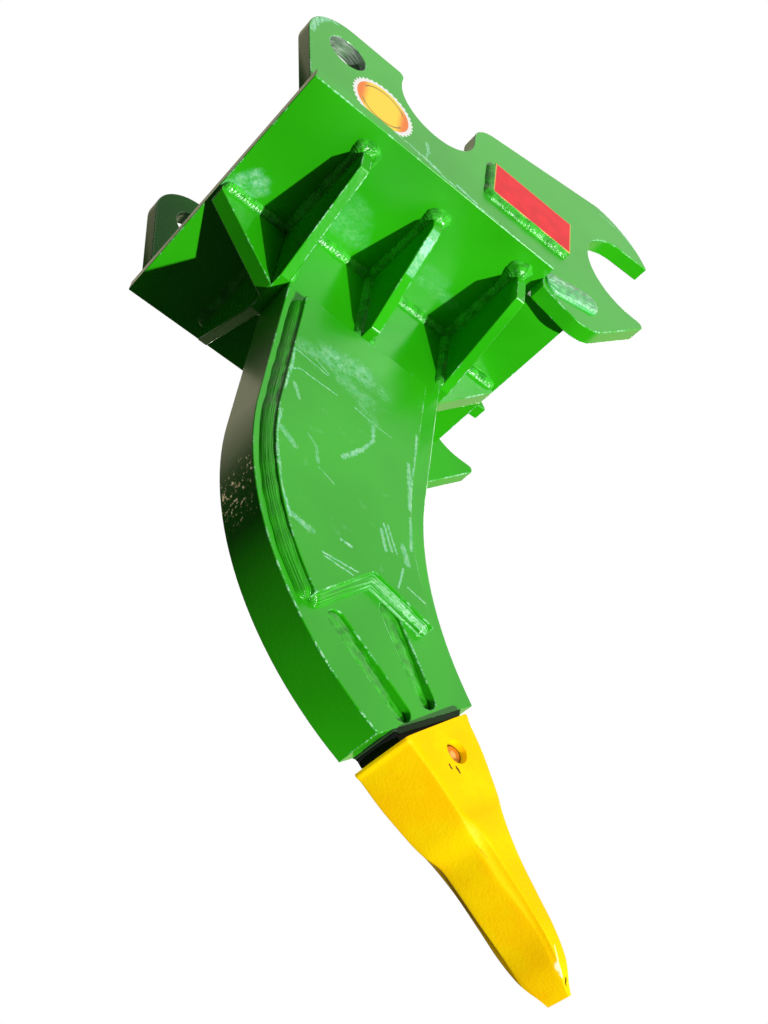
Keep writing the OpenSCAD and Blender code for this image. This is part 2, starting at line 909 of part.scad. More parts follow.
module nameplate_weld() {
    y = -ear_span / 2;
    low_rear = [plate_x, plate_z];
    low_front = [plate_x + plate_l, plate_z];
    top_rear = [plate_x, plate_z + plate_h];
    color(weld_green) place() {
        face_weld(low_front, low_rear, y, -1, plate_weld_leg);
        face_weld(low_rear, top_rear, y, -1, plate_weld_leg);
    }
}

// Raised run of weld on the outside of each lower jaw
module jaw_weld_pads() {
    from = [jaw_heel_x + pad_gap + pad_r, pad_rear_z];
    to = [belly_x + pad_reach, pad_front_z];
    color(weld_green) place()
        for (s = sides)
            slab(pad_h, s * (ear_span + pad_h) / 2)
                plug_outline(from, to, pad_r);
}

base_plate();
right_ear();
left_ear();
shank();
right_cheek_plate();
left_cheek_plate();
rear_cross_gusset();
front_cross_gusset();
right_side_gusset();
left_side_gusset();
rear_rib();
front_rib();
nose_adapter();
tooth();
tooth_pin();
pin_retainer();
nameplate();
ear_welds();
base_welds();
gusset_welds();
right_cheek_weld();
left_cheek_weld();
plug_welds();
nose_weld();
nameplate_weld();
jaw_weld_pads();
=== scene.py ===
"""Dresses a packed ripper with paint, weld beads and a cast tooth, and stages it in a plain studio."""
import math

import bmesh
import bpy
import numpy as np
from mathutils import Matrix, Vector


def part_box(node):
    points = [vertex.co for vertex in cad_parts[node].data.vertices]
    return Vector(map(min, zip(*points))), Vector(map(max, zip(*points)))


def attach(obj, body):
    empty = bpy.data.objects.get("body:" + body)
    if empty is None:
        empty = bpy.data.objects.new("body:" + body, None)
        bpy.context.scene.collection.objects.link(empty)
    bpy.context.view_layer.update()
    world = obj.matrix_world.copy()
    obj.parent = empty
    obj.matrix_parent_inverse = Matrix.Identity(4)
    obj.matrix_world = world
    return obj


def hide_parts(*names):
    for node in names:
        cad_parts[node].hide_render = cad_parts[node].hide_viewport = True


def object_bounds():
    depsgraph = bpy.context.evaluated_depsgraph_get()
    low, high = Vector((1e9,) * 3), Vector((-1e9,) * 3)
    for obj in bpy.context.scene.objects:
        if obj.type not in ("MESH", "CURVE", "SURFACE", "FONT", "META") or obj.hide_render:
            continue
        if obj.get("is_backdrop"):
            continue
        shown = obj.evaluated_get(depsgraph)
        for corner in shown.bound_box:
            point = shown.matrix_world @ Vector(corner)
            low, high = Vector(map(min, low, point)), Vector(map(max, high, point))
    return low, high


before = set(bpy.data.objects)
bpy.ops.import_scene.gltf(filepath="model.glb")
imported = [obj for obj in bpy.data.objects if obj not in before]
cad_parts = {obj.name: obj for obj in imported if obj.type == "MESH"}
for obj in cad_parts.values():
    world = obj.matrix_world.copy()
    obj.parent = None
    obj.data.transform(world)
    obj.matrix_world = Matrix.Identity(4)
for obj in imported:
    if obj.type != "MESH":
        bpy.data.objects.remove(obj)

bl_info = {
    "name": "Ripper Dressing",
    "version": (1, 0, 0),
    "blender": (4, 5, 0),
    "location": "View3D > Sidebar > Ripper",
    "description": "Paint, weld beads, cast tooth and studio for a packed ripper",
    "category": "Object",
}

MM = 0.001
SIDES = (-1, 1)
MERGE = 0.002 * MM
FLAT = math.radians(0.3)
BEAD_SMOOTH = math.radians(60)
CAST_SMOOTH = math.radians(40)


# Settings

def mm_length(name, description, default):
    """Length that can be set, with its default in millimetres."""
    return bpy.props.FloatProperty(name=name, description=description, default=default * MM, unit="LENGTH")


def mm_point(name, description, default):
    """Place or pair of lengths that can be set, with its default in millimetres."""
    return bpy.props.FloatVectorProperty(
        name=name, description=description, size=len(default), unit="LENGTH",
        default=tuple(v * MM for v in default))


def degree_angle(name, description, default):
    """Angle that can be set, with its default in degrees."""
    return bpy.props.FloatProperty(
        name=name, description=description, default=math.radians(default), subtype="ANGLE")


def plain_number(name, description, default):
    """Number that can be set, without a unit."""
    return bpy.props.FloatProperty(name=name, description=description, default=default)


class RipperPlateSettings(bpy.types.PropertyGroup):
    """Sizes of the softened edges and of the round sticker."""

    edge: mm_length("Edge", "Width of the worn edge on a flame-cut plate", 1.6)
    crease: degree_angle("Crease", "Angle from which an edge is softened", 32)
    nameplate_edge: mm_length("Nameplate edge", "Width of the softened edge on the nameplate", 1.2)
    sticker_radius: mm_length("Sticker radius", "Radius of the round sticker", 50)
    sticker_centre: mm_point("Sticker centre", "Centre of the sticker, from the eye's axis", (69, 0, -64))
    notch_shift: mm_length("Notch shift", "How far the base plate's notches close towards the jaws", 11)


class RipperWeldSettings(bpy.types.PropertyGroup):
    """Sizes and lines of the weld beads."""

    leg: mm_length("Leg", "Leg of the beads on the head", 9.5)
    cheek_leg: mm_length("Cheek leg", "Leg of the bead round a cheek plate", 12)
    plate_leg: mm_length("Plate leg", "Leg of the bead under the nameplate", 9)
    nose_edge: mm_length("Nose edge", "Width of the softened edge on the weld round the nose", 1)
    ripple: mm_length("Ripple", "Spacing of the ripples along a bead", 5)
    bulge: plain_number("Bulge", "How far a bead's face swells beyond flat", 0.5)
    step: mm_length("Step", "Spacing of the points along a bead", 1.1)
    front_reach: mm_length("Front reach", "How far the bead ahead of the front gusset runs to each side", 154)
    curve_centre: mm_point("Curve centre", "Centre of the cheek plate's back curve", (495, 0, -537))
    curve_radius: mm_length("Curve radius", "Radius of the cheek plate's back curve", 396)
    notch: mm_point("Notch", "Notch in the cheek plate's lower edge", (262.7, 0, -710))
    toe_depth: mm_length("Toe depth", "Level of the cheek plate's front foot", -735)
    plug_radius: mm_length("Plug radius", "Radius of the plug welds", 12.7)
    pad_radius: mm_length("Pad radius", "Radius of the weld pads on the lower jaws", 20)
    pad_height: mm_length("Pad height", "Height of the weld pads", 7)


class RipperToothSettings(bpy.types.PropertyGroup):
    """Shape of the cast tooth, in its own frame along its length."""

    length: mm_length("Length", "Length from the rim to the tip", 297.5)
    half_width: mm_length("Half width", "Half of the width at the rim", 47.5)
    half_height: mm_length("Half height", "Half of the height at the rim", 53)
    pitch: degree_angle("Pitch", "Slope of the tooth below the horizontal", 42.6)
    rim: mm_point("Rim", "Middle of the tooth's rim", (374.6, 0, -862.2))
    socket_mouth: mm_point("Socket mouth", "Half of the socket's width and height at the rim", (34.8, 40.8))
    socket_end: mm_point("Socket end", "Half of the socket's width and height at its end", (22.8, 17.8))
    socket_depth: mm_length("Socket depth", "Depth of the socket from the rim", 118)
    hole_radius: mm_length("Hole radius", "Radius of the pin hole in the tooth's cheeks", 14)
    hole_place: mm_point("Hole place", "Pin hole ahead of the rim and above the tooth's middle", (30.5, 5))


class RipperStageSettings(bpy.types.PropertyGroup):
    """Camera, lamps and floor."""

    position: mm_point("Position", "Place of the camera", (-366.25, -1020.03, -1958))
    rotation: bpy.props.FloatVectorProperty(
        name="Rotation", description="Turn of the camera",
        default=tuple(math.radians(a) for a in (139.7177, -5.7488, -39.6166)), subtype="EULER")
    lens: plain_number("Lens", "Focal length in millimetres", 54.594)
    floor_drop: mm_length("Floor drop", "Floor below the lowest point of the object", 1400)
    key: plain_number("Key", "Strength of the lamp from below", 4.2)
    side: plain_number("Side", "Strength of the lamp on the near side", 0.7)
    top: plain_number("Top", "Strength of the lamp on the upper and far sides", 2.2)
    ambient: plain_number("Ambient", "Strength of the world's light", 0.05)


GROUPS = {
    "ripper_plates": RipperPlateSettings,
    "ripper_welds": RipperWeldSettings,
    "ripper_tooth": RipperToothSettings,
    "ripper_stage": RipperStageSettings,
}


# Shader graphs

def linear(red, green, blue):
    """Scene-linear colour of an sRGB colour given in 0 to 255."""
    c = np.array([red, green, blue]) / 255
    c = np.where(c <= 0.04045, c / 12.92, ((c + 0.055) / 1.055) ** 2.4)
    return (*c.tolist(), 1.0)


class Value:
    """A shader socket that takes Python's arithmetic signs."""

    def __init__(self, graph, socket):
        self.graph = graph
        self.socket = socket

    def _math(self, operation, *values):
        return self.graph.node("ShaderNodeMath", {"operation": operation}, dict(enumerate(values)))

    def __add__(self, other):
        return self._math("ADD", self, other)

    def __sub__(self, other):
        return self._math("SUBTRACT", self, other)

    def __mul__(self, other):
        return self._math("MULTIPLY", self, other)

    def __truediv__(self, other):
        return self._math("DIVIDE", self, other)

    def __radd__(self, other):
        return self._math("ADD", other, self)

    def __rsub__(self, other):
        return self._math("SUBTRACT", other, self)

    def __rmul__(self, other):
        return self._math("MULTIPLY", other, self)

    def __abs__(self):
        return self._math("ABSOLUTE", self)

    def __pow__(self, other):
        return self._math("POWER", self, other)

    def low(self, other):
        """Lesser of two values."""
        return self._math("MINIMUM", self, other)

    def high(self, other):
        """Greater of two values."""
        return self._math("MAXIMUM", self, other)

    def step(self, low, high):
        """Smooth step from 0 at low to 1 at high."""
        return self.graph.node(
            "ShaderNodeMapRange", {"interpolation_type": "SMOOTHSTEP"},
            {"Value": self, "From Min": low, "From Max": high})

    def drop(self, low, high):
        """Smooth step from 1 at low to 0 at high."""
        return 1.0 - self.step(low, high)

    def band(self, low, high, soft):
        """1 between low and high, falling to 0 over soft outside."""
        return self.step(low - soft, low) * self.drop(high, high + soft)


class Graph:
    """Node tree of one material or world."""

    def __init__(self, owner):
        owner.use_nodes = True
        self.owner = owner
        self.tree = owner.node_tree

    def node(self, kind, settings=None, inputs=None, out=0):
        """Node of a kind, with its settings, then its sockets' values or links; gives one of its outputs."""
        made = self.tree.nodes.new(kind)
        for name, value in (settings or {}).items():
            setattr(made, name, value)
        for name, value in (inputs or {}).items():
            self.feed(made.inputs[name], value)
        return Value(self, made.outputs[out])

    def feed(self, socket, value):
        """Links a value to a socket, or sets the socket to a constant."""
        if isinstance(value, Value):
            self.tree.links.new(value.socket, socket)
        else:
            socket.default_value = value

    def mix(self, first, second, share):
        """Colour between two colours."""
        return self.node("ShaderNodeMix", {"data_type": "RGBA"}, {0: share, 6: first, 7: second}, 2)

    def vector(self, operation, *values, out="Vector"):
        """Vector maths on values."""
        return self.node("ShaderNodeVectorMath", {"operation": operation}, dict(enumerate(values)), out)

    def scale(self, vector, share):
        """Colour or vector times a value."""
        return self.node("ShaderNodeVectorMath", {"operation": "SCALE"}, {0: vector, "Scale": share})

    def parts(self, point, count=3):
        """First coordinates of a point, each by itself."""
        return [self.node("ShaderNodeSeparateXYZ", None, {0: point}, i) for i in range(count)]

    def place(self):
        """Object coordinates and their three parts."""
        point = self.node("ShaderNodeTexCoord", out="Object")
        return (point, *self.parts(point))

    def mapped(self, point, rotation=(0, 0, 0), scale=(1, 1, 1)):
        """Coordinates that are scaled, then turned."""
        return self.node("ShaderNodeMapping", None, {"Vector": point, "Rotation": rotation, "Scale": scale})

    def noise(self, point, scale, detail=2.0, roughness=0.5):
        """Noise from 0 to 1 at a number of lumps per unit."""
        return self.node("ShaderNodeTexNoise", None, {
            "Vector": point, "Scale": scale, "Detail": detail, "Roughness": roughness})

    def bump(self, height, distance):
        """Normal of a surface raised by a height from 0 to 1 times a distance."""
        return self.node("ShaderNodeBump", None, {"Height": height, "Distance": distance})


def surface(name):
    """Graph of a new material."""
    return Graph(bpy.data.materials.new(name))


def dress(graph, **sockets):
    """Feeds a material's Principled sockets and gives the material back."""
    shader = graph.tree.nodes["Principled BSDF"]
    for label, value in sockets.items():
        graph.feed(shader.inputs[label.replace("_", " ")], value)
    return graph.owner


# Colours, and bounds of the stone chips and of the bore's wall

GREEN = linear(46, 178, 14)
GREEN_DEEP = linear(38, 164, 10)
PALE = linear(176, 232, 190)
TEAL = linear(120, 206, 160)
TAN = linear(236, 222, 176)
TOOTH_DARK = linear(58, 44, 10)
CHIP_SIDE, CHIP_BACK = 25 * MM, (115 * MM, 130 * MM)
CHIP_LEVELS = (-680 * MM, -655 * MM)
BORE_WALL = (30.3 * MM, 30.6 * MM)

# In millimetres: middle lines of plugs and pads, then strokes as two ends, a half width and a strength

PLUGS = (((235.5, -794.9), (331.1, -860.8)), ((298.2, -736.1), (361.1, -822.9)))
PADS = (((385.0, -158.2), (440.0, -141.5)),)
CHEEK_MARKS = (
    ((101, -481), (114, -469), 1.0, 0.7), ((114, -469), (170, -469), 0.9, 0.8),
    ((103, -439), (152, -446), 1.0, 0.7), ((132, -432), (155, -443), 0.9, 0.6),
    ((198, -468), (224, -473), 0.9, 0.8), ((227, -473), (256, -475), 0.8, 0.6),
    ((228, -481), (231, -503), 3.2, 0.7), ((231, -503), (218, -533), 2.4, 0.7),
    ((218, -533), (195, -566), 3.4, 0.8), ((144, -569), (157, -579), 1.6, 0.4),
    ((157, -579), (164, -602), 2.4, 0.6), ((167, -610), (190, -620), 0.8, 0.5),
    ((264, -628), (280, -662), 2.0, 0.7), ((270, -627), (287, -661), 1.4, 0.6),
    ((295, -644), (304, -666), 5.0, 0.6), ((212, -697), (227, -697), 1.8, 0.9),
    ((193, -733), (240, -728), 1.2, 0.9), ((196, -737), (235, -737), 1.0, 0.8),
    ((109, -588), (131, -602), 5.0, 0.5), ((145, -708), (174, -713), 5.0, 0.6),
    ((104, -559), (104, -597), 2.2, 0.8), ((104, -597), (127, -679), 1.6, 0.6),
    ((127, -679), (145, -712), 2.4, 0.9), ((292, -438), (296, -503), 1.6, 0.7),
    ((296, -503), (299, -574), 4.0, 0.9), ((299, -574), (313, -611), 2.2, 1.0),
    ((313, -611), (324, -658), 2.0, 0.9), ((324, -658), (345, -700), 3.0, 0.8),
    ((296, -710), (299, -678), 1.2, 0.8), ((308, -701), (343, -709), 1.0, 0.7),
    ((101, -440), (103, -470), 2.0, 0.8), ((103, -470), (100, -520), 2.6, 0.9),
    ((112, -500), (122, -520), 3.0, 0.6), ((286, -500), (297, -575), 3.5, 0.7),
    ((300, -590), (306, -640), 2.5, 0.7), ((262, -640), (272, -668), 2.5, 0.7),
)
# Dusty specks and painted sheen high on the cheek plate
CHEEK_SHEEN = (
    ((112, -425), (150, -412), 8.0, 0.45), ((150, -410), (200, -398), 13.0, 0.75),
    ((200, -400), (232, -405), 8.0, 0.45), ((170, -430), (215, -442), 9.0, 0.4),
    ((206, -450), (226, -470), 7.0, 0.25),
)
BASE_MARKS = (
    ((84, -146), (112, -146), 1.4, 0.6), ((112, -146), (126, -150), 2.4, 0.9),
    ((132, -148), (160, -154), 3.4, 0.9), ((164, -158), (186, -158), 2.0, 0.8),
    ((190, -152), (224, -158), 2.6, 0.9), ((232, -160), (262, -160), 1.4, 0.5),
)
# Painted sheen, standing in for reflections, on the base plate's underside, in X and Y
BASE_SHEEN = (
    ((-38, -8), (-4, -50), 4.0, 0.8), ((-20, -6), (6, -40), 3.0, 0.5),
    ((-30, -30), (-14, -56), 3.0, 0.7), ((84, -66), (146, -66), 5.0, 0.25),
    ((92, -80), (140, -78), 5.0, 0.22), ((96, -96), (134, -92), 5.0, 0.15),
    ((100, -112), (124, -106), 4.0, 0.15), ((246, -80), (300, -78), 4.0, 0.2),
    ((240, -96), (270, -96), 4.0, 0.15),
)
EAR_MARKS = (
    ((-59, -12), (-56, 22), 6.0, 0.9), ((-56, 22), (-42, 48), 7.0, 0.9),
    ((-42, 48), (-28, 51), 4.0, 0.7), ((146, -66), (151, -84), 3.6, 0.8),
    ((150, -84), (147, -108), 1.8, 0.7), ((152, -104), (168, -112), 1.2, 0.5),
    ((469, 137), (511, 136), 1.6, 0.6), ((511, 136), (545, 116), 1.6, 0.7),
    ((240, -122), (252, -132), 1.2, 0.6), ((40, 110), (70, 96), 1.2, 0.5),
)
# Painted highlight along the near side gusset's edge, in Y and Z
GUSSET_GLINT = (((-163.8, -196.3), (-117.6, -245.8), 2.0, 0.5), ((-154, -207), (-141, -221), 3.0, 1.0))
# Painted shade of a crease on the near flank, then two dark marks below the pin hole
TOOTH_CREASE = (
    ((447, -966), (462, -973), 0.2, 0.4), ((392, -902), (396, -905), 1.0, 1.0),
    ((402, -899), (407, -903), 1.4, 1.0),
)
TOOTH_CHIP = (((581, -1052), (586, -1059), 1.6, 1.0),)
# Painted glint along the near edge by the tip
TOOTH_GLINT = (((554, -1033), (563, -1046), 0.3, 0.7), ((563, -1046), (575, -1055), 0.6, 0.9))


def marks(graph, first, second, table, soft=1.0):
    """Mask of strokes of wear or of painted light, each between two points of the plane of two coordinates.

    A stroke's mask falls with the distance to its segment, on coordinates shaken by a noise that grows
    with the half width; soft stretches its outer edge.
    """
    point = graph.node("ShaderNodeCombineXYZ", None, {0: first / MM, 1: second / MM})
    shake = graph.node("ShaderNodeTexNoise", None, {"Vector": point, "Scale": 0.22, "Detail": 4.0}, "Color")
    total = None
    for start, end, half, strength in table:
        start, run = np.array(start, float), np.subtract(end, start).astype(float)
        sway = 2.0 + 1.5 * half
        gap = graph.vector("SUBTRACT", point, (*(start + sway / 2), 0.0))
        gap = graph.vector("MULTIPLY_ADD", shake, (sway, sway, 0.0), gap)
        along_run = graph.vector("DOT_PRODUCT", gap, (*(run / (run @ run)), 0.0), out="Value")
        near = graph.node("ShaderNodeMath", {"operation": "ADD", "use_clamp": True}, {0: along_run, 1: 0.0})
        off = graph.vector("DISTANCE", gap, graph.scale((*run, 0.0), near), out="Value")
        stroke = off.drop(0.4 * half, soft * half + 0.8) * strength
        total = stroke if total is None else total.high(stroke)
    return total


def paint(name, wear=0.0, table=(), sheen=(), face=0.0, under=None, edge=(), chips=False, gloss=0.5,
          rough=0.2):
    """Glossy green paint: slight change of shade, fine orange peel, and pale worn flecks where wear is high.

    A table of strokes adds scratches on the side below the face's Y, and sheen adds dusty specks with painted
    sheen there, or painted sheen alone on the underside below a Z where that is given; edge is a table of
    painted highlights in Y and Z; chips adds bare stone chips low on the shank's back, which glow a little as
    painted light; gloss is the strength of the shine and rough its spread.
    """
    graph = surface(name)
    point, x, y, z = graph.place()
    shade = graph.noise(point, 5.0, 2.0)
    colour = graph.mix(GREEN_DEEP, GREEN, shade.step(0.3, 0.62))
    fine = graph.noise(point, 260.0, 3.0, 0.6)
    patch = graph.noise(point, 22.0, 4.0, 0.65)
    worn = patch.step(0.62 - 0.16 * wear, 0.68 - 0.12 * wear) * fine.step(0.42, 0.56) * wear
    on_side = y.drop(face + MM, face + 2 * MM)
    if table:
        thin, broad = [row for row in table if row[2] < 2], [row for row in table if row[2] >= 2]
        slant = graph.mapped(graph.mapped(point, rotation=(0, -1.2, 0)), scale=(24, 30, 300))
        worn = worn.high(marks(graph, x, z, thin) * fine.step(0.32, 0.45) * on_side)
        streaks = graph.noise(slant, 1.0, 4.0, 0.65).step(0.3, 0.52)
        worn = worn.high(marks(graph, x, z, broad) * streaks * on_side)
    # Dusty specks with painted sheen on the side; on the underside, painted sheen alone
    if sheen and under is None:
        dust_and_sheen = graph.noise(point, 70.0, 5.0, 0.7).step(0.28, 0.7)
        worn = worn.high(marks(graph, x, z, sheen, 2.2) * dust_and_sheen * on_side)
    elif sheen:
        painted_sheen = marks(graph, x, y, sheen, 3.4) * graph.noise(point, 90.0, 5.0, 0.7).step(0.2, 0.7)
        worn = worn.high(painted_sheen * z.drop(under + MM, under + 2 * MM))
    # Painted highlight on a gusset's edge
    if edge:
        worn = worn.high(marks(graph, y, z, edge))
    # Wear, painted sheen and painted highlights all mix the paint towards teal and pale
    colour = graph.mix(colour, graph.mix(TEAL, PALE, fine.step(0.4, 0.6)), worn)
    metal = 0.0
    if chips:
        field = y.band(-CHIP_SIDE, CHIP_SIDE, 10 * MM) * z.band(*CHIP_LEVELS, 50 * MM) * x.drop(*CHIP_BACK)
        stone = graph.noise(point, 160.0, 4.0, 0.7) - 0.1 * (1.0 - field)
        metal = stone.step(0.575, 0.605) * field.step(0.1, 0.5)
        colour = graph.mix(colour, TAN, metal)
        # The chips glow a little: painted light that stands in for their shine
        dress(graph, Emission_Color=graph.mix(linear(0, 0, 0), TAN, metal), Emission_Strength=0.24)
    bore = (x * x + z * z).drop(BORE_WALL[0] ** 2, BORE_WALL[1] ** 2)
    ring = graph.noise(graph.mapped(point, scale=(60, 900, 60)), 1.0, 2.0)
    steel = graph.mix(linear(100, 134, 102), linear(206, 216, 206), ring.step(0.35, 0.75))
    colour = graph.mix(colour, steel, bore)
    peel = graph.noise(point, 170.0, 2.0)
    return dress(
        graph, Base_Color=colour, Roughness=rough + 0.06 * shade + 0.3 * worn + 0.4 * metal,
        Metallic=bore * 0.5 + metal, Specular_IOR_Level=gloss, Normal=graph.bump(peel, 0.12 * MM))


def weld_paint(name, lumps, lines=0.0, bright=0.0, tint=0.0, late=False):
    """Green paint over weld metal: lumps and grain under the gloss, pale flecks, and lines along the run.

    bright is the strength of pale streaks along the run, only on a second run past its corner where late
    is set, and tint is a share of pale paint all over.
    """
    graph = surface(name)
    point, *_ = graph.place()
    run = graph.node("ShaderNodeAttribute", {"attribute_name": "run"}, out="Vector")
    way, _, order = graph.parts(run)
    shade = graph.noise(point, 60.0, 4.0, 0.6)
    grain = graph.noise(point, 260.0, 3.0, 0.6)
    line = graph.noise(graph.mapped(run, scale=(9, 15, 1)), 1.0, 3.0, 0.6)
    tone = (1.0 - lines) * shade + lines * line
    colour = graph.mix(linear(32, 144, 14), linear(56, 186, 32), tone.step(0.36, 0.6))
    colour = graph.mix(colour, TEAL, tint)
    fleck = grain.step(0.58, 0.68) * shade.step(0.5, 0.6) * (0.6 * lumps)
    streak = line.step(0.47, 0.58) * grain.step(0.36, 0.5) * bright
    if late:
        streak = streak * order.step(0.4, 0.6) * way.step(0.06, 0.09)
    return dress(
        graph, Base_Color=graph.mix(colour, PALE, fleck.high(streak)), Roughness=0.14 + 0.1 * grain,
        Normal=graph.bump(lumps * (grain + 3.0 * shade) + 1.6 * lines * line, 1.0 * MM))


def tooth_paint(settings):
    """Yellow on a casting, glowing as painted light: sandy grain, faint smudges, a painted glint and a few
    dark chips.

    Most of the glow is left off the hollow far side, outside a crest that narrows along the tooth; that
    side turns a darker olive, grimy and in painted shade.
    """
    graph = surface("yellow_paint")
    point, x, y, z = graph.place()
    shade = graph.noise(point, 14.0, 4.0, 0.6)
    grain = graph.noise(point, 300.0, 2.0)
    colour = graph.mix(linear(255, 200, 0), linear(255, 216, 0), shade.step(0.35, 0.65))
    smudge = graph.noise(point, 46.0, 5.0, 0.7).step(0.66, 0.8)
    colour = graph.mix(colour, linear(120, 96, 10), smudge * 0.4)
    # Near-side strokes: a painted glint, the painted shade of a crease with two dark marks, and chips by the
    # tip
    strokes = ((TOOTH_GLINT, -24 * MM, linear(255, 252, 214)), (TOOTH_CREASE, -30 * MM, TOOTH_DARK),
               (TOOTH_CHIP, -20 * MM, TOOTH_DARK))
    for table, side, tone in strokes:
        colour = graph.mix(colour, tone, marks(graph, x, z, table) * y.drop(side, side + 3 * MM))
    rim, pitch = settings.rim, settings.pitch
    place = (x - rim[0]) * math.cos(pitch) - (z - rim[2]) * math.sin(pitch)
    wide, narrowing = 41 * MM, 14 * MM
    crest = wide - place.step(80 * MM, 130 * MM) * narrowing
    # The far flank turns darker olive and keeps less glow: grimy, and in painted shade
    grime_and_shade = (y - crest).step(-1 * MM, 2 * MM) * place.step(95 * MM, 125 * MM)
    colour = graph.mix(colour, linear(150, 108, 6), grime_and_shade * 0.7)
    # The glow is painted light that brightens the yellow, weakest on the far flank
    return dress(
        graph, Base_Color=graph.scale(colour, 0.82), Roughness=0.4 + 0.2 * shade, Specular_IOR_Level=0.12,
        Emission_Color=graph.scale(colour, 1.0 - 0.6 * grime_and_shade), Emission_Strength=0.4,
        Normal=graph.bump(grain, 0.35 * MM))


def pin_paint(low, high):
    """Yellow metal of the pin's end: a paler middle and a dark edge by the distance from its axis."""
    graph = surface("pin_metal")
    point, x, _, z = graph.place()
    middle, radius = (np.array(low) + high) / 2, (high[0] - low[0]) / 2
    off = ((x - middle[0]) ** 2 + (z - middle[2]) ** 2) ** 0.5 / radius
    # A paler middle as a painted highlight, then a dark edge as painted shade in the hole round the pin
    colour = graph.mix(linear(250, 196, 110), linear(226, 140, 40), off.step(0.25, 0.5))
    colour = graph.mix(colour, linear(96, 56, 12), off.step(0.78, 0.95))
    return dress(graph, Base_Color=colour, Roughness=0.4, Metallic=0.6,
                 Normal=graph.bump(graph.noise(point, 300.0), 0.2 * MM))


def plain(name, colour, roughness, metallic=0.0, grain=0.0):
    """Even finish with a fine grain."""
    graph = surface(name)
    point, *_ = graph.place()
    return dress(
        graph, Base_Color=colour, Roughness=roughness, Metallic=metallic,
        Normal=graph.bump(graph.noise(point, 300.0), grain))


def plate_paint(low, high):
    """Red nameplate with a thin yellow line round its face, green sides and an olive-brown rear one."""
    graph = surface("nameplate_paint")
    point, x, y, z = graph.place()
    face = y.drop(low[1] + 0.4 * MM, low[1] + 0.9 * MM)
    edge = (x - low[0]).low(high[0] - x).low(z - low[2]).low(high[2] - z)
    shade = graph.noise(point, 40.0, 3.0)
    red = graph.mix(linear(226, 14, 32), linear(240, 24, 40), shade.step(0.35, 0.65))
    red = graph.mix(linear(226, 196, 96), red, edge.step(1.4 * MM, 2.4 * MM))
    side = graph.mix(linear(70, 74, 40), GREEN, x.step(low[0] + 0.5 * MM, low[0] + 2.5 * MM))
    return dress(graph, Base_Color=graph.mix(side, red, face), Roughness=0.3, Specular_IOR_Level=0.15,
                 Normal=graph.bump(graph.noise(point, 160.0), 0.2 * MM))


def sticker_print():
    """Round print by the disc's own map: white border, yellow middle, orange ends and two thin brown arcs."""
    graph = surface("sticker_print")
    spot = graph.node("ShaderNodeUVMap", {"uv_map": "disc"})
    u, v = graph.parts(spot, 2)
    radius = (u * u + v * v) ** 0.5
    field = graph.mix(linear(255, 214, 40), linear(240, 120, 20), abs(u).step(0.45, 0.75))
    arcs = radius.band(0.71, 0.74, 0.01) * abs(v).step(0.3, 0.36)
    field = graph.mix(field, linear(120, 84, 20), arcs)
    return dress(
        graph, Base_Color=graph.mix(field, linear(238, 238, 232), radius.step(0.86, 0.88)), Roughness=0.35)


# Meshes

def show(name, mesh, materials, slot, *nodes):
    """Links a mesh as a piece on the one body, in place of the nodes named."""
    for material in materials:
        mesh.materials.append(material)
    piece = bpy.data.objects.new(name, mesh)
    bpy.context.scene.collection.objects.link(piece)
    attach(piece, "root")
    if nodes:
        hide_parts(*nodes)
    return piece


def smooth(mesh, angle):
    """Shades a mesh smooth, with its sharper edges kept."""
    mesh.polygons.foreach_set("use_smooth", np.ones(len(mesh.polygons), bool))
    mesh.set_sharp_from_angle(angle=angle)


def solid_mesh(name, points, faces):
    """Closed mesh from points and faces, with its normals turned outwards."""
    mesh = bpy.data.meshes.new(name)
    mesh.from_pydata(points, [], faces)
    work = bmesh.new()
    work.from_mesh(mesh)
    bmesh.ops.recalc_face_normals(work, faces=work.faces)
    work.to_mesh(mesh)
    work.free()
    return mesh


def softened(node, materials, slot, width, crease):
    """Copy of a CAD node with its facets merged and its sharp edges rounded, in the node's place."""
    mesh = bpy.data.meshes.new(node + "_finish")
    work = bmesh.new()
    work.from_mesh(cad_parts[node].data)
    bmesh.ops.remove_doubles(work, verts=work.verts, dist=MERGE)
    bmesh.ops.dissolve_limit(
        work, angle_limit=FLAT, verts=work.verts, edges=work.edges, use_dissolve_boundaries=False)
    work.to_mesh(mesh)
    work.free()
    smooth(mesh, crease)
    piece = show(node + "_finish", mesh, materials, slot, node)
    bevel = piece.modifiers.new("edge", "BEVEL")
    bevel.width = width
    bevel.segments = 3
    bevel.limit_method = "ANGLE"
    bevel.angle_limit = crease
    bevel.use_clamp_overlap = False
    bevel.miter_outer = "MITER_ARC"
    bevel.material = len(materials) - 1
    bevel.harden_normals = True
    return piece


def unit(vector):
    """Rows of vectors scaled to length 1."""
    return vector / np.linalg.norm(vector, axis=-1, keepdims=True)


def along(points, step, *fields):
    """Points and other fields evenly spaced by about step on a polyline, with the distance from its start."""
    points = np.asarray(points, float)
    reach = np.concatenate([[0], np.cumsum(np.linalg.norm(np.diff(points, axis=0), axis=1))])
    place = np.linspace(0, reach[-1], max(4, int(round(reach[-1] / step)) + 1))
    spread = [np.stack([np.interp(place, reach, rows[:, i]) for i in range(3)], axis=1)
              for rows in (points, *(np.broadcast_to(np.asarray(f, float), points.shape) for f in fields))]
    return (*spread, place)


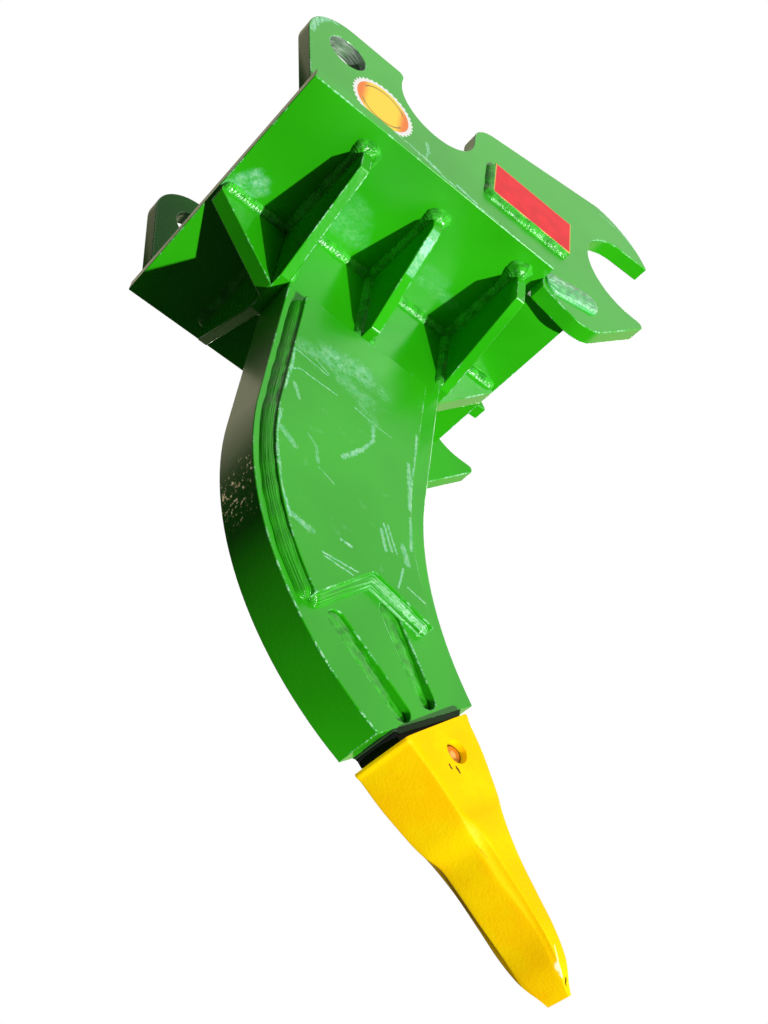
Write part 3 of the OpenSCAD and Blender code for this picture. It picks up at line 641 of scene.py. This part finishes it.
def bead(points, first, second, leg, settings, seed, ripple=0.05, swell=None):
    """Weld bead of a given leg: a swelling profile between two plates carried along their corner line.

    At distance s and angle p from the first plate, the radius is the leg times a mix of the flat fillet,
    1 / (cos p + sin p), and the round one, with a crescent ripple cos(2 pi (s / spacing - 0.4 sin 2p)) and
    a slow wander; swell thickens it round a point, and both ends are rounded off over one leg.
    """
    dice = np.random.default_rng(seed)
    path, first, second, s = along(points, settings.step * (1), first, second)
    first, second = unit(first), unit(second)
    p = np.linspace(0, math.pi / 2, 9)[None, :]
    flat = 1 / (np.cos(p) + np.sin(p))
    radius = leg * (flat + settings.bulge * (1 - flat))
    waves, phases = dice.uniform(60, 210, 4), dice.uniform(0, 2 * math.pi, 4)
    wander = np.sin(s[:, None] * waves + phases).sum(axis=1)[:, None] * 0.022
    pace = s[:, None] / settings.ripple + 3 * wander
    radius = radius * (1 + wander + ripple * np.cos(2 * math.pi * (pace - 0.4 * np.sin(2 * p))))
    if swell is not None:
        spot, amount, reach = swell
        radius = radius * (1 + amount * np.exp(-(((path - spot) / reach) ** 2).sum(axis=1)))[:, None]
    end = np.minimum(s, s[-1] - s)[:, None] / leg
    radius = radius * np.sqrt(np.clip(1 - (1 - np.minimum(end, 1)) ** 2, 0.02, 1))
    sink = 0.3 * MM
    face = path[:, None] + radius[..., None] * (
        np.cos(p)[..., None] * first[:, None] + np.sin(p)[..., None] * second[:, None])
    toe_a = face[:, :1] - sink * second[:, None]
    toe_b = face[:, -1:] - sink * first[:, None]
    root = (path - sink * (first + second))[:, None]
    return np.concatenate([root, toe_a, face, toe_b], axis=1)


def foot_run(x0, x1, root0, root1, tip, side, level):
    """Line round a gusset's foot under the base plate: along one face, round the nose and back.

    It comes with its outward normals. The nose turns by two quarter circles.
    """
    bend, turns = 3 * MM, 6
    angle = np.concatenate([np.linspace(math.pi, math.pi / 2, turns), np.linspace(math.pi / 2, 0, turns)])
    out = np.stack([np.cos(angle), np.sin(angle)], axis=1)
    centre = np.repeat([[x0 + bend, tip - bend], [x1 - bend, tip - bend]], turns, axis=0)
    flat = np.concatenate([[[x0, root0]], centre + bend * out, [[x1, root1]]])
    out = np.concatenate([out[:1], out, out[-1:]])
    points = np.stack([flat[:, 0], side * flat[:, 1], np.full(len(flat), level)], axis=1)
    return points, np.stack([out[:, 0], side * out[:, 1], np.zeros(len(out))], axis=1)


def corner_run(points, outs):
    """Polyline whose straight stretches keep their own normals, which turn close to each corner."""
    points, outs, near = np.asarray(points, float), np.asarray(outs, float), 3 * MM
    way = unit(np.diff(points, axis=0))
    rows = [(points[0], outs[0])]
    for i in range(1, len(points) - 1):
        rows += [(points[i] - near * way[i - 1], outs[i - 1]), (points[i] + near * way[i], outs[i])]
    rows.append((points[-1], outs[-1]))
    return np.array([r[0] for r in rows]), np.array([r[1] for r in rows])


def stadium(ends, radius, y, side, height, depth):
    """Weld metal filling a long round-ended outline on a face across Y, as rings along its length.

    At distance s along the middle line and share t across, the half width is that of the outline, and the
    face stands above the plate at a height for the share along, t and the length; the ring closes at depth
    below it.
    """
    start, end = (np.array(point) * MM for point in ends)
    length = np.linalg.norm(end - start)
    way = (end - start) / length
    turn = np.linspace(0, math.pi / 2, 14)
    s = np.concatenate([-radius * np.cos(turn), np.linspace(0, length, 80)[1:-1],
                        length + radius * np.sin(turn)])[:, None]
    past = np.maximum(np.maximum(-s, s - length), 0)
    half = np.sqrt(np.maximum(radius ** 2 - past ** 2, (0.02 * radius) ** 2))
    t = np.sin(np.linspace(-math.pi / 2, math.pi / 2, 19))[None, :]
    x = start[0] + s * way[0] + t * half * way[1]
    z = start[1] + s * way[1] - t * half * way[0]
    top = np.stack([x, y + side * height(s / length, t, length), z], axis=-1)
    low = np.stack([x, np.full(x.shape, y - side * depth), z], axis=-1)
    return np.concatenate([top, low[:, ::-1]], axis=1)


def tube_faces(rows, around, start):
    """Quads of a grid that closes round, and a face over each end."""
    i = np.arange(rows - 1)[:, None] * around
    j = np.arange(around)[None, :]
    k = (j + 1) % around
    quads = np.stack([i + j, i + k, i + around + k, i + around + j], axis=-1).reshape(-1, 4) + start
    ends = [(np.arange(around) + start).tolist(), (np.arange(around) + start + (rows - 1) * around).tolist()]
    return quads.tolist() + ends


def beads_piece(name, runs, material, node):
    """One piece of many beads in place of a CAD weld node, with a map of the way along and round each run."""
    points, places, faces, start = [], [], [], 0
    for order, grid in enumerate(runs):
        rows, around = grid.shape[:2]
        way = np.concatenate([[0], np.cumsum(np.linalg.norm(np.diff(grid[:, 0], axis=0), axis=1))])
        places.append(np.stack(np.broadcast_arrays(
            way[:, None], np.arange(around)[None, :] / around, np.float64(order)), axis=-1).reshape(-1, 3))
        points.append(grid.reshape(-1, 3))
        faces += tube_faces(rows, around, start)
        start += rows * around
    mesh = solid_mesh(name, np.concatenate(points), faces)
    run = mesh.attributes.new("run", "FLOAT_VECTOR", "POINT")
    run.data.foreach_set("vector", np.concatenate(places).ravel())
    smooth(mesh, BEAD_SMOOTH)
    return show(name, mesh, [material], "weld_paint", node)


# Tooth

# Sections from the rim to the tip, as shares of the tooth's length, half width and half height:
# place, half width, edge of the flank, crest width, crest height and hollow of the flank
TOOTH_SECTIONS = np.array([
    [-0.012, 0.945, 0.83, 0.845, 1.045, 0],
    [0.025, 0.935, 0.8, 0.83, 1.015, 0],
    [0.15, 0.915, 0.705, 0.84, 0.88, 0],
    [0.28, 0.83, 0.56, 0.8, 0.725, 0.2],
    [0.35, 0.85, 0.475, 0.71, 0.645, 0.55],
    [0.43, 0.835, 0.375, 0.6, 0.5, 0.9],
    [0.53, 0.8, 0.29, 0.56, 0.435, 1],
    [0.66, 0.775, 0.225, 0.59, 0.315, 1],
    [0.78, 0.75, 0.18, 0.565, 0.205, 1],
    [0.885, 0.63, 0.14, 0.465, 0.172, 0.8],
    [0.965, 0.385, 0.095, 0.335, 0.094, 0.4],
    [1, 0.33, 0.03, 0.26, 0.045, 0],
])


def eased(table, count):
    """Rows of a table run through by a Catmull-Rom curve."""
    at = np.linspace(0, len(table) - 1, count)
    i = np.minimum(at.astype(int), len(table) - 2)
    t = (at - i)[:, None]
    row = [table[np.clip(i + k, 0, len(table) - 1)] for k in (-1, 0, 1, 2)]
    return 0.5 * (2 * row[1] + (row[2] - row[0]) * t
                  + (2 * row[0] - 5 * row[1] + 4 * row[2] - row[3]) * t ** 2
                  + (3 * row[1] - row[0] - 3 * row[2] + row[3]) * t ** 3)


def tooth_frame(settings, local):
    """Points of the tooth's own frame, along its length, across and up, in the part's frame."""
    c, s = math.cos(settings.pitch), math.sin(settings.pitch)
    turn = np.array([[c, 0, -s], [0, 1, 0], [s, 0, c]])
    return np.array(settings.rim) + local @ turn


def tooth_mesh(settings):
    """Cast tooth as one closed skin: outer sections from the tip to the rim, then the socket's walls.

    A section's upper quarter is a crowned crest out to its crest width, a quadratic curve drawn in by the
    hollow down to the flank's edge, and the flank down to the middle; the other quarters mirror it. A lip
    swells the height near the rim by exp(-(s / width)^2).
    """
    rows = 150
    place, b, e, c, h, k = (col[:, None] for col in eased(TOOTH_SECTIONS, rows).T)
    t = np.linspace(0, 1, 7)[None, :-1]
    crest = np.stack([t * c, h * (1.03 - 0.03 * t ** 2)], axis=-1)
    t = np.linspace(0, 1, 15)[None, :-1]
    bend_y = b + k * (c + 0.3 * (b - c) - b)
    bend_z = h + k * (e + 0.12 * (h - e) - h)
    flank = np.stack([(1 - t) ** 2 * c + 2 * t * (1 - t) * bend_y + t ** 2 * b,
                      (1 - t) ** 2 * h + 2 * t * (1 - t) * bend_z + t ** 2 * e], axis=-1)
    t = np.linspace(0, 1, 5)[None, :]
    side = np.stack([b + 0 * t, e * (1 - t)], axis=-1)
    quarter = np.concatenate([crest, flank, side], axis=1)
    lower = quarter[:, -2::-1] * [1, -1]
    half = np.concatenate([quarter, lower], axis=1)
    ring = np.concatenate([half, half[:, -2:0:-1] * [-1, 1]], axis=1)
    for share in (0.25, 0.25):
        ring = (1 - 2 * share) * ring + share * (np.roll(ring, 1, axis=1) + np.roll(ring, -1, axis=1))
    lip_height, lip_width = 0.03, 0.011
    lip = 1 + lip_height * np.exp(-(place / lip_width) ** 2)
    size = np.array([settings.half_width, settings.half_height])
    ring = ring * np.stack(np.broadcast_arrays(1.0, lip), axis=-1) * size
    reach = np.broadcast_to((place * settings.length)[..., None], ring.shape[:2] + (1,))
    outer = np.concatenate([reach, ring], axis=-1)
    mouth = outer[:1] * [1, 0.985, 0.985]
    around = np.linspace(0, 2 * math.pi, ring.shape[1], endpoint=False)
    box = np.stack([np.sin(around), np.cos(around)], axis=-1)
    box = box / np.abs(box).max(axis=1, keepdims=True)
    depth = np.array([0, 0, 0.35, 0.7, 1.0, 1.0])[:, None, None]
    mouth_size, end_size = np.array(settings.socket_mouth), np.array(settings.socket_end)
    wall = box[None] * (mouth_size + depth * (end_size - mouth_size))
    wall[-1] *= 0.02
    inside = np.broadcast_to(depth * settings.socket_depth, wall.shape[:2] + (1,))
    wall = np.concatenate([inside, wall], axis=-1)
    grid = np.concatenate([outer[::-1], mouth, wall[1:]], axis=0)
    points = tooth_frame(settings, grid.reshape(-1, 3))
    return solid_mesh("tooth_casting", points, tube_faces(grid.shape[0], grid.shape[1], 0))


# Operators

# First seed of each group of beads, and a bead's swellings as a share of its radius and a reach
BASE_SEED, UPRIGHT_SEED, CHEEK_SEED, PLATE_SEED = 40, 80, 120, 140
FOOT_LUMP, FRONT_LUMP, HEEL_LUMP = (0.35, 14 * MM), (0.8, 18 * MM), (0.25, 14 * MM)
PLUG_DEPTH, PAD_SINK = 14 * MM, 0.3 * MM


class RIPPER_OT_plates(bpy.types.Operator):
    """Softens and paints the plates, ribs and gussets"""

    bl_idname = "ripper.plates"
    bl_label = "Paint plates"

    def execute(self, context):
        settings = context.scene.ripper_plates
        body, edge = paint("green_paint"), paint("green_edge", 0.8)
        faces = [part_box(node)[0][1] for node in ("right_cheek_plate", "right_ear")]
        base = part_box("base_plate")[0]
        special = {"right_cheek_plate": paint("cheek_paint", 0.1, CHEEK_MARKS, CHEEK_SHEEN, faces[0]),
                   "right_ear": paint("ear_paint", table=EAR_MARKS, face=faces[1]),
                   "shank": paint("shank_paint", chips=True),
                   "left_ear": paint("dull_paint", gloss=0.1),
                   "base_plate": paint("base_paint", 0.0, BASE_MARKS, BASE_SHEEN, base[1], base[2])}
        stays = ("rear_cross_gusset", "front_cross_gusset", "right_side_gusset", "left_side_gusset",
                 "rear_rib", "front_rib")
        special.update(dict.fromkeys(stays, paint("stay_paint", rough=0.09)))
        # The near side gusset's edge carries a painted highlight
        special["right_side_gusset"] = paint("glint_paint", edge=GUSSET_GLINT, rough=0.09)
        plates = ("base_plate", "right_ear", "left_ear", "shank", "right_cheek_plate", "left_cheek_plate")
        for node in plates + stays:
            materials = [special.get(node, body), edge]
            piece = softened(node, materials, "green_paint", settings.edge, settings.crease)
            if node == "base_plate":
                self.close_notches(piece.data, settings.notch_shift)
        low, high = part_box("nameplate")
        softened("nameplate", [plate_paint(low, high)], "red_plate", settings.nameplate_edge, settings.crease)
        return {"FINISHED"}

    def close_notches(self, mesh, shift):
        """Moves the rear edges of the base plate's front notches towards the lower jaws."""
        flat = np.zeros(len(mesh.vertices) * 3)
        mesh.vertices.foreach_get("co", flat)
        spots = flat.reshape(-1, 3)
        edge = spots[np.abs(spots[:, 1]) > spots[:, 1].max() - MM, 0].max()
        spots[np.abs(spots[:, 0] - edge) < MM, 0] += shift
        mesh.vertices.foreach_set("co", flat)
        mesh.update()


class RIPPER_OT_welds(bpy.types.Operator):
    """Lays rippled weld beads, plugs and pads in place of the plain ones"""

    bl_idname = "ripper.welds"
    bl_label = "Lay weld beads"

    def execute(self, context):
        settings = context.scene.ripper_welds
        self.rough = weld_paint("rough_weld", 0.7, bright=0.12)
        self.even = weld_paint("even_weld", 0.08, 1.0, 0.55, late=True)
        self.ears(settings)
        self.base(settings)
        self.cheeks(settings)
        self.plate(settings)
        self.fills(settings)
        # The weld round the nose is near-black green: painted shade in the gap above the tooth
        shade = plain("shade_weld", linear(16, 54, 12), 0.7)
        softened("nose_weld", [shade], "weld_paint", settings.nose_edge, context.scene.ripper_plates.crease)
        return {"FINISHED"}

    def ears(self, settings):
        """Beads along both faces of each ear, on top of the base plate."""
        low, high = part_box("ear_welds")
        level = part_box("base_plate")[1][2]
        runs = []
        for node in ("right_ear", "left_ear"):
            for corner, out in zip(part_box(node), SIDES):
                line = [(low[0], corner[1], level), (high[0], corner[1], level)]
                runs.append(bead(line, (0, out, 0), (0, 0, 1), settings.leg, settings, len(runs)))
        beads_piece("ear_beads", runs, self.rough, "ear_welds")

    def base(self, settings):
        """Beads under the base plate, along shank and ribs and round each gusset's foot, and up the shank."""
        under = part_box("base_plate")[0][2]
        shank, rear, front, side_plate = (
            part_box(n) for n in ("shank", "rear_cross_gusset", "front_cross_gusset", "right_side_gusset"))
        rear_rib, front_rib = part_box("rear_rib"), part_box("front_rib")
        wall, rib = shank[1][1], rear_rib[1][1]
        down, leg = (0, 0, -1), settings.leg
        runs, upright = [], []
        for side in SIDES:
            for x0, x1, y in ((rear[1][0], side_plate[0][0], wall), (side_plate[1][0], front[0][0], wall),
                              (rear_rib[0][0], rear[0][0], rib), (front[1][0], front_rib[1][0], rib)):
                line = [(x0, side * y, under), (x1, side * y, under)]
                runs.append(bead(line, (0, side, 0), down, leg, settings, BASE_SEED + len(runs)))
            line = [(front[1][0], side * rib, under), (front[1][0], side * settings.front_reach, under)]
            runs.append(bead(line, (1, 0, 0), down, leg, settings, BASE_SEED + len(runs)))
            for plate, root0, root1 in ((rear, rib, wall), (side_plate, wall, wall), (front, wall, None)):
                tip = -plate[0][1]
                line, out = foot_run(plate[0][0], plate[1][0], root0, root1 or tip, tip, side, under)
                if root1 is None:
                    line, out = line[:-2], out[:-2]
                spot = np.array([(plate[0][0] + plate[1][0]) / 2, side * tip, under])
                lump = FOOT_LUMP if root1 else FRONT_LUMP
                runs.append(bead(line, out, down, leg, settings, BASE_SEED + len(runs), swell=(spot, *lump)))
            for plate, x, out in ((rear, rear[1][0], 1), (side_plate, side_plate[0][0], -1),
                                  (side_plate, side_plate[1][0], 1), (front, front[0][0], -1)):
                line = [(x, side * wall, plate[0][2] + MM), (x, side * wall, under - 2 * MM)]
                seed = UPRIGHT_SEED + len(upright)
                upright.append(bead(line, (out, 0, 0), (0, side, 0), leg, settings, seed))
        beads_piece("base_beads", runs, self.rough, "base_welds")
        beads_piece("gusset_beads", upright, self.rough, "gusset_welds")

    def cheeks(self, settings):
        """Smooth bead down each cheek plate's back edge, and a heavier one along its notched lower edge."""
        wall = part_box("shank")[1][1]
        centre, radius = np.array(settings.curve_centre), settings.curve_radius
        for side, node in zip(SIDES, ("right_cheek_weld", "left_cheek_weld")):
            low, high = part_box(node.replace("weld", "plate"))
            heel = math.asin((low[2] - centre[2]) / radius)
            angle = math.pi - np.linspace(0, heel, 40)
            out = np.stack([np.cos(angle), 0 * angle, np.sin(angle)], axis=1)
            curve = centre + radius * out
            line = np.concatenate([[[low[0], 0, high[2]]], curve]) + [0, side * wall, 0]
            out = np.concatenate([[[-1, 0, 0]], out])
            leg = settings.cheek_leg
            runs = [bead(line, out, (0, side, 0), leg, settings, CHEEK_SEED, 0.0)]
            toe = np.array([high[0], 0, settings.toe_depth])
            notch = np.array(settings.notch)
            corners = np.array([curve[-1], notch, toe]) + [0, side * wall, 0]
            way = np.diff(corners, axis=0)
            line, out = corner_run(corners, np.stack([way[:, 2], 0 * way[:, 0], -way[:, 0]], axis=1))
            lump = (corners[0], *HEEL_LUMP)
            runs.append(bead(line, out, (0, side, 0), leg, settings, CHEEK_SEED + 1, 0.0, lump))
            beads_piece(node.replace("weld", "bead"), runs, self.even, node)

    def plate(self, settings):
        """Bead along the nameplate's lower and rear edges."""
        low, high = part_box("nameplate")
        face = high[1]
        line, out = corner_run([(high[0], face, low[2]), (low[0], face, low[2]), (low[0], face, high[2])],
                               [(0, 0, -1), (-1, 0, 0)])
        runs = [bead(line, out, (0, -1, 0), settings.plate_leg, settings, PLATE_SEED)]
        beads_piece("nameplate_bead", runs, self.rough, "nameplate_weld")

    def fills(self, settings):
        """Plug welds that sink towards the shank's end, and raised pads on the lower jaws."""
        shank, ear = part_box("shank"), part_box("left_ear")
        plugs, pads = [], []

        def sunk(s, t, length):
            """Height at share s along and t across: sinks by s^1.6 and tilts, with crescents and lumps."""
            wave = np.cos(2 * math.pi * (s * length / (16 * MM) + 0.5 * t ** 2)) * np.sqrt(1 - 0.98 * t ** 2)
            lumps = np.sin(13 * s + 3 * t) * np.sin(7 * s - 4 * t + 1) + 0.5 * np.sin(29 * s - 2 * t + 2)
            slope = -0.4 - 6.5 * np.clip(s, 0, 1) ** 1.6 + 2.4 * (0.5 * t - t ** 2)
            return (slope + 0.12 * wave + 0.6 * lumps) * MM

        def raised(s, t, length):
            """Height of a dome with steep sides and rounded ends, with waves along and across its middle."""
            end = np.clip(np.minimum(s + 0.42, 1.42 - s) / 0.25, 0.02, 1)
            dome = (1 - 0.985 * t ** 2) ** 0.3 * np.sqrt(end)
            wave = np.sin(9 * s + 5 * t) * np.sin(14 * s - 3 * t + 1) + 0.6 * np.sin(23 * s + 8 * t + 2)
            return settings.pad_height * dome * (0.9 + 0.13 * wave * (1 - t ** 2))

        for side in SIDES:
            for ends in PLUGS:
                plugs.append(stadium(ends, settings.plug_radius, side * shank[1][1], side, sunk, PLUG_DEPTH))
            for ends in PADS:
                pads.append(stadium(ends, settings.pad_radius, side * ear[1][1], side, raised, PAD_SINK))
        beads_piece("plug_fills", plugs, weld_paint("plug_weld", 0.4, 0.3), "plug_welds")
        beads_piece("jaw_pads", pads, weld_paint("pad_weld", 0.25, 0.1, 0.9, 0.35), "jaw_weld_pads")


class RIPPER_OT_tooth(bpy.types.Operator):
    """Casts the tooth and finishes the nose, pin and retainer"""

    bl_idname = "ripper.tooth"
    bl_label = "Cast tooth"

    def execute(self, context):
        settings = context.scene.ripper_tooth
        piece = show("tooth_casting", tooth_mesh(settings), [tooth_paint(settings)], "yellow_tooth", "tooth")
        self.cut_hole(context, piece, settings)
        finishes = {
            "nose_adapter": plain("black_nose", linear(7, 7, 7), 0.9, grain=0.5 * MM),
            "tooth_pin": pin_paint(*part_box("tooth_pin")),
            "pin_retainer": plain("ring_metal", linear(40, 38, 34), 0.45, 0.6, 0.2 * MM),
        }
        for node, material in finishes.items():
            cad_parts[node].material_slots[0].material = material
        return {"FINISHED"}

    def cut_hole(self, context, piece, settings):
        """Takes the pin hole out of both cheeks of the casting."""
        turn = np.linspace(0, 2 * math.pi, 64, endpoint=False)
        reach = 100 * MM
        local = np.stack([settings.hole_place[0] + settings.hole_radius * np.cos(turn), 0 * turn,
                          settings.hole_place[1] + settings.hole_radius * np.sin(turn)], axis=-1)
        disc = tooth_frame(settings, local)
        grid = np.stack([disc - [0, reach, 0], disc + [0, reach, 0]])
        tool = bpy.data.objects.new("hole_tool", solid_mesh(
            "hole_tool", grid.reshape(-1, 3), tube_faces(2, len(turn), 0)))
        context.scene.collection.objects.link(tool)
        cut = piece.modifiers.new("hole", "BOOLEAN")
        cut.object = tool
        cut.solver = "EXACT"
        context.view_layer.update()
        made = bpy.data.meshes.new_from_object(piece.evaluated_get(context.evaluated_depsgraph_get()))
        piece.modifiers.remove(cut)
        old = piece.data
        piece.data = made
        bpy.data.meshes.remove(old)
        bpy.data.objects.remove(tool)
        smooth(made, CAST_SMOOTH)


class RIPPER_OT_sticker(bpy.types.Operator):
    """Lays the round sticker on the right ear"""

    bl_idname = "ripper.sticker"
    bl_label = "Lay sticker"

    def execute(self, context):
        settings = context.scene.ripper_plates
        ear_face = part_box("right_ear")[0][1]
        turn = np.linspace(0, 2 * math.pi, 360, endpoint=False)
        film, scallops, scallop_depth = 0.35 * MM, 36, 0.03
        edge = settings.sticker_radius * (1 + scallop_depth * np.cos(scallops * turn))
        share = np.array([0, 0.9, 1, 1])[:, None]
        lift = np.array([film, film, film, -film])[:, None]
        grid = np.stack([
            settings.sticker_centre[0] + share * edge * np.cos(turn),
            ear_face - lift + 0 * turn,
            settings.sticker_centre[2] + share * edge * np.sin(turn)], axis=-1)
        mesh = solid_mesh("sticker", grid.reshape(-1, 3), tube_faces(4, len(turn), 0)[:-2] + [
            (np.arange(len(turn)) + 3 * len(turn)).tolist()])
        work = bmesh.new()
        work.from_mesh(mesh)
        bmesh.ops.remove_doubles(work, verts=work.verts, dist=MERGE)
        work.to_mesh(mesh)
        work.free()
        spots = np.zeros(len(mesh.vertices) * 3)
        mesh.vertices.foreach_get("co", spots)
        corner = np.zeros(len(mesh.loops), int)
        mesh.loops.foreach_get("vertex_index", corner)
        flat = (spots.reshape(-1, 3) - np.array(settings.sticker_centre))[:, [0, 2]] / settings.sticker_radius
        mesh.uv_layers.new(name="disc").data.foreach_set("uv", flat[corner].ravel())
        show("sticker", mesh, [sticker_print()], "red_plate")
        return {"FINISHED"}


# Lamps: where each one's light comes from, its spread in degrees, and whether it shows in reflections
LAMPS = {"key": ((0.347, -0.577, -0.739), 0.8, True), "side": ((0.27, -0.93, -0.25), 25.0, False),
         "top": ((0.35, 0.45, 0.82), 30.0, True)}


class RIPPER_OT_stage(bpy.types.Operator):
    """Sets the camera, the lamps, the pale floor and the white world"""

    bl_idname = "ripper.stage"
    bl_label = "Set stage"

    def execute(self, context):
        settings = context.scene.ripper_stage
        scene = context.scene
        scene.view_settings.view_transform = "Standard"
        data = bpy.data.cameras.new("camera")
        data.lens = settings.lens
        data.clip_end = 100
        camera = bpy.data.objects.new("camera", data)
        camera.location = settings.position
        camera.rotation_euler = settings.rotation
        scene.collection.objects.link(camera)
        scene.camera = camera
        for name, (towards, spread, glints) in LAMPS.items():
            self.lamp(scene, name, getattr(settings, name), towards, spread).visible_glossy = glints
        self.floor(scene, settings)
        self.world(scene, settings)
        return {"FINISHED"}

    def lamp(self, scene, name, strength, towards, spread):
        """Sun whose light comes from the direction named."""
        data = bpy.data.lights.new(name, "SUN")
        data.energy = strength
        data.angle = math.radians(spread)
        lamp = bpy.data.objects.new(name, data)
        lamp.rotation_euler = Vector(towards).to_track_quat("Z", "Y").to_euler()
        scene.collection.objects.link(lamp)
        return lamp

    def floor(self, scene, settings):
        """Pale floor below the camera, through which the lamp from below still shines."""
        level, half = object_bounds()[0][2] - settings.floor_drop, 30.0
        mesh = bpy.data.meshes.new("floor")
        corners = [(x * half, y * half, level) for x, y in ((-1, -1), (1, -1), (1, 1), (-1, 1))]
        mesh.from_pydata(corners, [], [(0, 1, 2, 3)])
        mesh.materials.append(plain("floor", linear(238, 238, 238), 0.9))
        floor = bpy.data.objects.new("floor", mesh)
        floor.visible_shadow = False
        floor.visible_diffuse = False
        floor.visible_glossy = False
        scene.collection.objects.link(floor)
        floor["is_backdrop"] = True

    def world(self, scene, settings):
        """White to the camera, a dim even light to the object, and a pale near side in reflections."""
        world = bpy.data.worlds.new("world")
        scene.world = world
        graph = Graph(world)
        way = graph.node("ShaderNodeTexCoord", out="Generated")
        x, y, z = graph.parts(way)
        rays = [graph.node("ShaderNodeLightPath", out=name)
                for name in ("Is Camera Ray", "Is Transmission Ray", "Is Glossy Ray")]
        upper, near = z.step(-0.05, 0.25), y.drop(-0.3, 0.2)
        shine = graph.mix(linear(214, 206, 176), linear(255, 255, 250), near)
        shine = graph.mix(linear(24, 26, 24), shine, upper * x.step(-0.62, -0.48))
        colour = graph.mix((1.0, 1.0, 1.0, 1.0), shine, rays[2])
        strength = rays[0].high(rays[1]).high(rays[2]) * (1 - settings.ambient) + settings.ambient
        back = graph.tree.nodes["Background"]
        graph.feed(back.inputs["Color"], colour)
        graph.feed(back.inputs["Strength"], strength)


class RIPPER_PT_panel(bpy.types.Panel):
    """Steps and settings of the ripper's dressing"""

    bl_idname = "RIPPER_PT_panel"
    bl_label = "Ripper"
    bl_space_type = "VIEW_3D"
    bl_region_type = "UI"
    bl_category = "Ripper"

    def draw(self, context):
        for group in GROUPS:
            settings = getattr(context.scene, group)
            box = self.layout.box()
            for name in GROUPS[group].__annotations__:
                box.prop(settings, name)
        for step in STEPS:
            self.layout.operator(step.bl_idname)


STEPS = (RIPPER_OT_plates, RIPPER_OT_welds, RIPPER_OT_tooth, RIPPER_OT_sticker, RIPPER_OT_stage)


def register():
    for group in GROUPS.values():
        bpy.utils.register_class(group)
    for name, group in GROUPS.items():
        setattr(bpy.types.Scene, name, bpy.props.PointerProperty(type=group))
    for step in STEPS:
        bpy.utils.register_class(step)
    bpy.utils.register_class(RIPPER_PT_panel)


def unregister():
    bpy.utils.unregister_class(RIPPER_PT_panel)
    for step in reversed(STEPS):
        bpy.utils.unregister_class(step)
    for name in GROUPS:
        delattr(bpy.types.Scene, name)
    for group in reversed(GROUPS.values()):
        bpy.utils.unregister_class(group)


def main():
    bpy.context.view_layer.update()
    register()
    for step in STEPS:
        family, name = step.bl_idname.split(".")
        if getattr(getattr(bpy.ops, family), name)() != {"FINISHED"}:
            raise RuntimeError(step.bl_idname + " did not finish")


if __name__ == "__main__":
    main()
